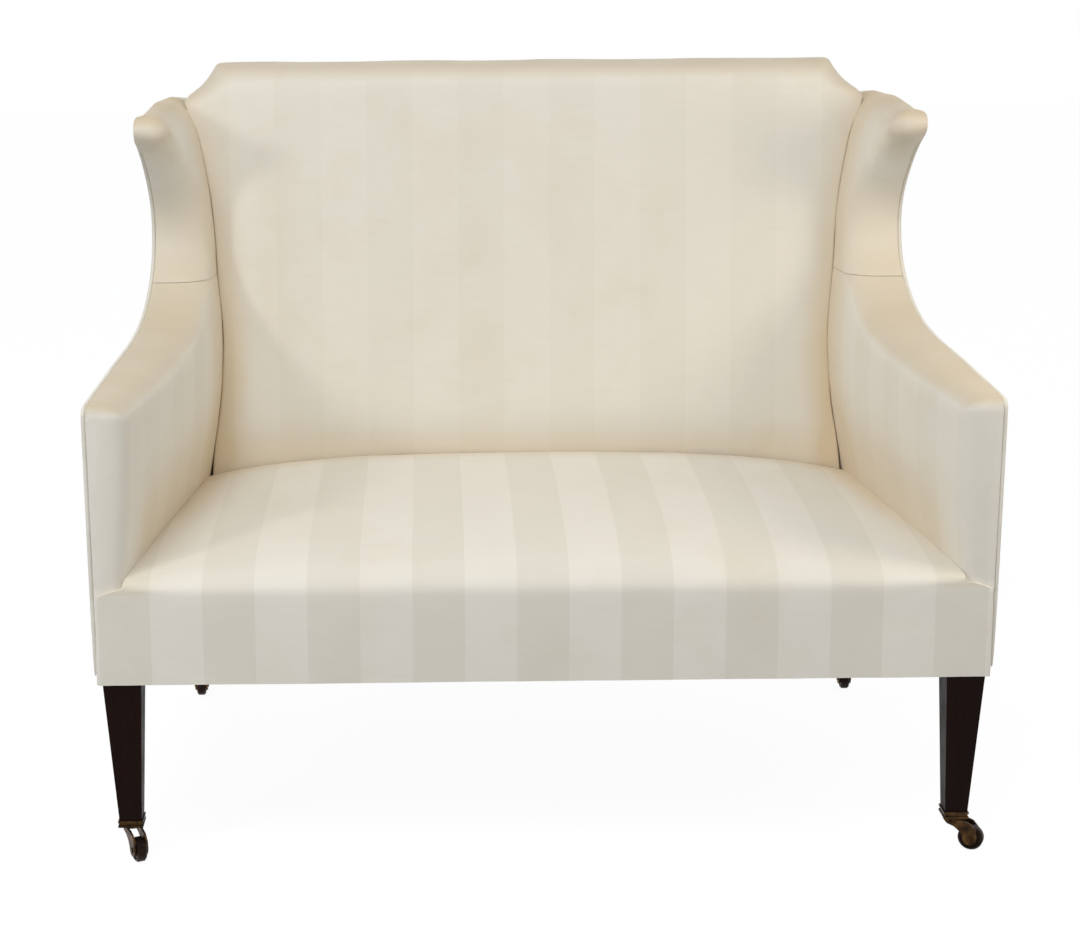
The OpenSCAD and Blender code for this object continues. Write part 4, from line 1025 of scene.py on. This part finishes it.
def wire_coil(name, places, low, high):
    """Springs of one wire each, wound round a waist, as one piece."""
    path = bpy.data.curves.new(name, "CURVE")
    path.dimensions = "3D"
    path.bevel_depth, path.bevel_resolution, path.use_fill_caps = WIRE_RADIUS, 2, True
    for x, y in places:
        line = path.splines.new("POLY")
        count = int(TURNS * 28)
        line.points.add(count)
        for i, point in enumerate(line.points):
            q = i / count
            wide = SPRING_RADIUS * mix(SPRING_WAIST, 1, (2 * q - 1) ** 2)
            a = q * TURNS * 2 * math.pi
            point.co = (x + wide * math.cos(a), y + wide * math.sin(a), mix(low, high, q), 1)
    pick(placed(name, path))
    bpy.ops.object.convert(target="MESH")
    return bpy.context.view_layer.objects.active


SPRING_SPAN, SPRING_RADIUS, SPRING_WAIST, WIRE_RADIUS, TURNS = 0.440, 0.038, 0.62, 0.0016, 3.5
spring_places = [(SPRING_SPAN * (2 * i / 5 - 1), DEPTH / 1000 * share - MID_Y) for i in range(6)
                 for share in (0.3, 0.72)]
spring_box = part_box("seat_springs")
coils = wire_coil("coil_springs", spring_places, spring_box[0][2] + WIRE_RADIUS,
                  spring_box[1][2] - WIRE_RADIUS)
dress(coils, spring_steel, "seat_springs")
print("springs:", len(spring_places))


# %% Woven bands
BAND_WIDE, BAND_THICK, BAND_LIFT = 0.05, 0.0012, 0.0007
WEB_SPAN, CROSS_INSET, LEVEL_INSET = 0.495, 0.06, 0.026  # where the outermost bands lie


def band(mesh, start, end, up, lift):
    """One strip from start to end, with its height along it from lift(place)."""
    way = end - start
    side = way.normalized().cross(up).normalized()
    count = max(int(way.length / 0.012), 2)
    rings = []
    for i in range(count + 1):
        middle = start + way * i / count + up * lift(start + way * i / count)
        rings.append([mesh.verts.new(middle + side * BAND_WIDE / 2 * a + up * BAND_THICK / 2 * b)
                      for a, b in ((-1, -1), (1, -1), (1, 1), (-1, 1))])
    for one, two in zip(rings, rings[1:]):
        for k in range(4):
            mesh.faces.new((one[k], one[(k + 1) % 4], two[(k + 1) % 4], two[k]))
    mesh.faces.new(rings[0][::-1])
    mesh.faces.new(rings[-1])


def crossing(where, beats, first):
    """+1 over a crossing and -1 over the next, eased between them."""
    if where <= beats[0] or where >= beats[-1]:
        k = 0 if where <= beats[0] else len(beats) - 1
        return (-1) ** (k + first)
    k = max(i for i, b in enumerate(beats) if b <= where)
    share = (where - beats[k]) / (beats[k + 1] - beats[k])
    return (-1) ** (k + first) * math.cos(math.pi * share)


def woven(name, up, rows, row_axis, columns):
    """Bands in two directions; each passes over one and under the next."""
    mesh = bmesh.new()
    for bands, others, axis, lift in (
            (columns, rows, row_axis, BAND_LIFT), (rows, columns, 0, -BAND_LIFT)):
        beats = [((a + b) / 2)[axis] for a, b in others]
        for i, (a, b) in enumerate(bands):
            band(mesh, a, b, up, lambda p: lift * crossing(p[axis], beats, i))
    bmesh.ops.recalc_face_normals(mesh, faces=mesh.faces[:])
    data = bpy.data.meshes.new(name)
    mesh.to_mesh(data)
    mesh.free()
    return placed(name, data)


def spaced(first, last, count):
    return [mix(first, last, i / (count - 1)) for i in range(count)]


def web_half(y):
    """Half the room for the seat's webbing, which narrows toward the back like the frame."""
    return web_box[1][0] - (y - web_box[0][1]) * math.tan(SIDE_TURN)


web_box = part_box("seat_webbing")
web_z = (web_box[0][2] + web_box[1][2]) / 2
web_front, web_rear = web_box[0][1], web_box[1][1]
lengthways = [(Vector((x, web_front, web_z)), Vector((x, web_rear, web_z)))
              for x in spaced(-WEB_SPAN, WEB_SPAN, 9)]
crossways = [(Vector((-web_half(y), y, web_z)), Vector((web_half(y), y, web_z)))
             for y in spaced(web_front + CROSS_INSET, web_rear - CROSS_INSET, 5)]
seat_web = woven("woven_seat_bands", Vector((0, 0, 1)), crossways, 1, lengthways)
lay(seat_web, lambda p: p.x, lambda p: p.y)
dress(seat_web, webbing, "seat_webbing", smooth=False)

low_end, high_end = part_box("back_webbing")
climb = Vector((0, math.sin(RAKE), math.cos(RAKE)))
foot = Vector((0, low_end[1] + BAND_THICK / 2, low_end[2]))
rise, half = (high_end[2] - low_end[2]) / math.cos(RAKE), high_end[0]
upright = [(foot + Vector((x, 0, 0)), foot + climb * rise + Vector((x, 0, 0)))
           for x in spaced(BAND_WIDE - half, half - BAND_WIDE, 9)]
level = [(foot + climb * h + Vector((-half, 0, 0)), foot + climb * h + Vector((half, 0, 0)))
         for h in spaced(LEVEL_INSET, rise - LEVEL_INSET, 5)]
back_web = woven("woven_back_bands", Vector((0, -math.cos(RAKE), -math.sin(RAKE))), level, 2, upright)
lay(back_web, lambda p: p.x, lambda p: p.z)
dress(back_web, webbing, "back_webbing", smooth=False)

# %% [markdown]
# ## The studio
# A pale floor runs under the settee. To the camera and in reflections it is partly its own light, so
# that it comes out white around the settee without more lamp light on the cloth, and it keeps the
# settee's shadow. A wide lamp above and in front gives the soft shading of the covers, and a small one
# at the left, like a window, shades the wings and arms across. A cooler one fills the front, a warm one
# stands for a wall, and the world does the rest.

# %% Floor and backdrop
FLOOR_GLOW, GLOW_SHARE = 1.18, 0.8
AIR_LIGHT = 0.46  # on the settee, while the camera sees 1

floor_finish = Finish("pale_floor")
white = floor_finish.node("Emission", {}, {"Color": (1, 1, 1, 1), "Strength": FLOOR_GLOW})
soft = floor_finish.cloud(0.5, detail=3.0)
pale = floor_finish.tint(soft, (0.42, 0.44, 0.47, 1), (0.46, 0.48, 0.51, 1))
floor_finish.show(base_color=pale, roughness=0.9, specular_ior_level=0.1)
ground = Thread(floor_finish, floor_finish.shader.outputs[0])
share = floor_finish.looked_at() * GLOW_SHARE
glowing = floor_finish.node("MixShader", {}, {0: share, 1: ground, 2: white})
floor_finish.fill(floor_finish.tree.nodes["Material Output"], {0: glowing})
settle()
bpy.ops.mesh.primitive_grid_add(x_subdivisions=24, y_subdivisions=24, size=24, location=(0, 0, -0.0002))
floor = bpy.context.object
floor.name = "floor"
floor.data.materials.append(floor_finish.material)

# %% Lamps and world
def lamp(name, place, aim, size, power, tone):
    light = bpy.data.lights.new(name, "AREA")
    light.shape, light.size, light.size_y = "RECTANGLE", size[0], size[1]
    light.energy, light.color = power, tone
    item = placed(name, light)
    item.location = place
    item.rotation_euler = (Vector(aim) - Vector(place)).to_track_quat("-Z", "Y").to_euler()


lamp("skylight", (-1.0, -2.4, 3.9), (0, 0.0, 0.5), (1.9, 1.6), 70, (1.0, 0.985, 0.955))
lamp("window", (-2.2, -1.9, 1.65), (0, 0, 0.75), (0.35, 0.45), 13, (1.0, 0.97, 0.92))
lamp("front_fill", (0.5, -4.2, 1.3), (0, 0, 0.6), (3.0, 2.2), 5.5, (0.74, 0.90, 1.0))
lamp("warm_wall", (1.4, -0.6, 1.2), (-0.6, 0, 0.55), (0.6, 0.6), 5.5, (1.0, 0.85, 0.64))
air = Finish("studio", "worlds", "Background")
strength = air.node("MapRange", {}, {"Value": air.looked_at(), "To Min": AIR_LIGHT, "To Max": 1.0})
bpy.context.scene.world = air.show(color=(1, 1, 1, 1), strength=strength)
bpy.context.scene.view_settings.view_transform = "Standard"
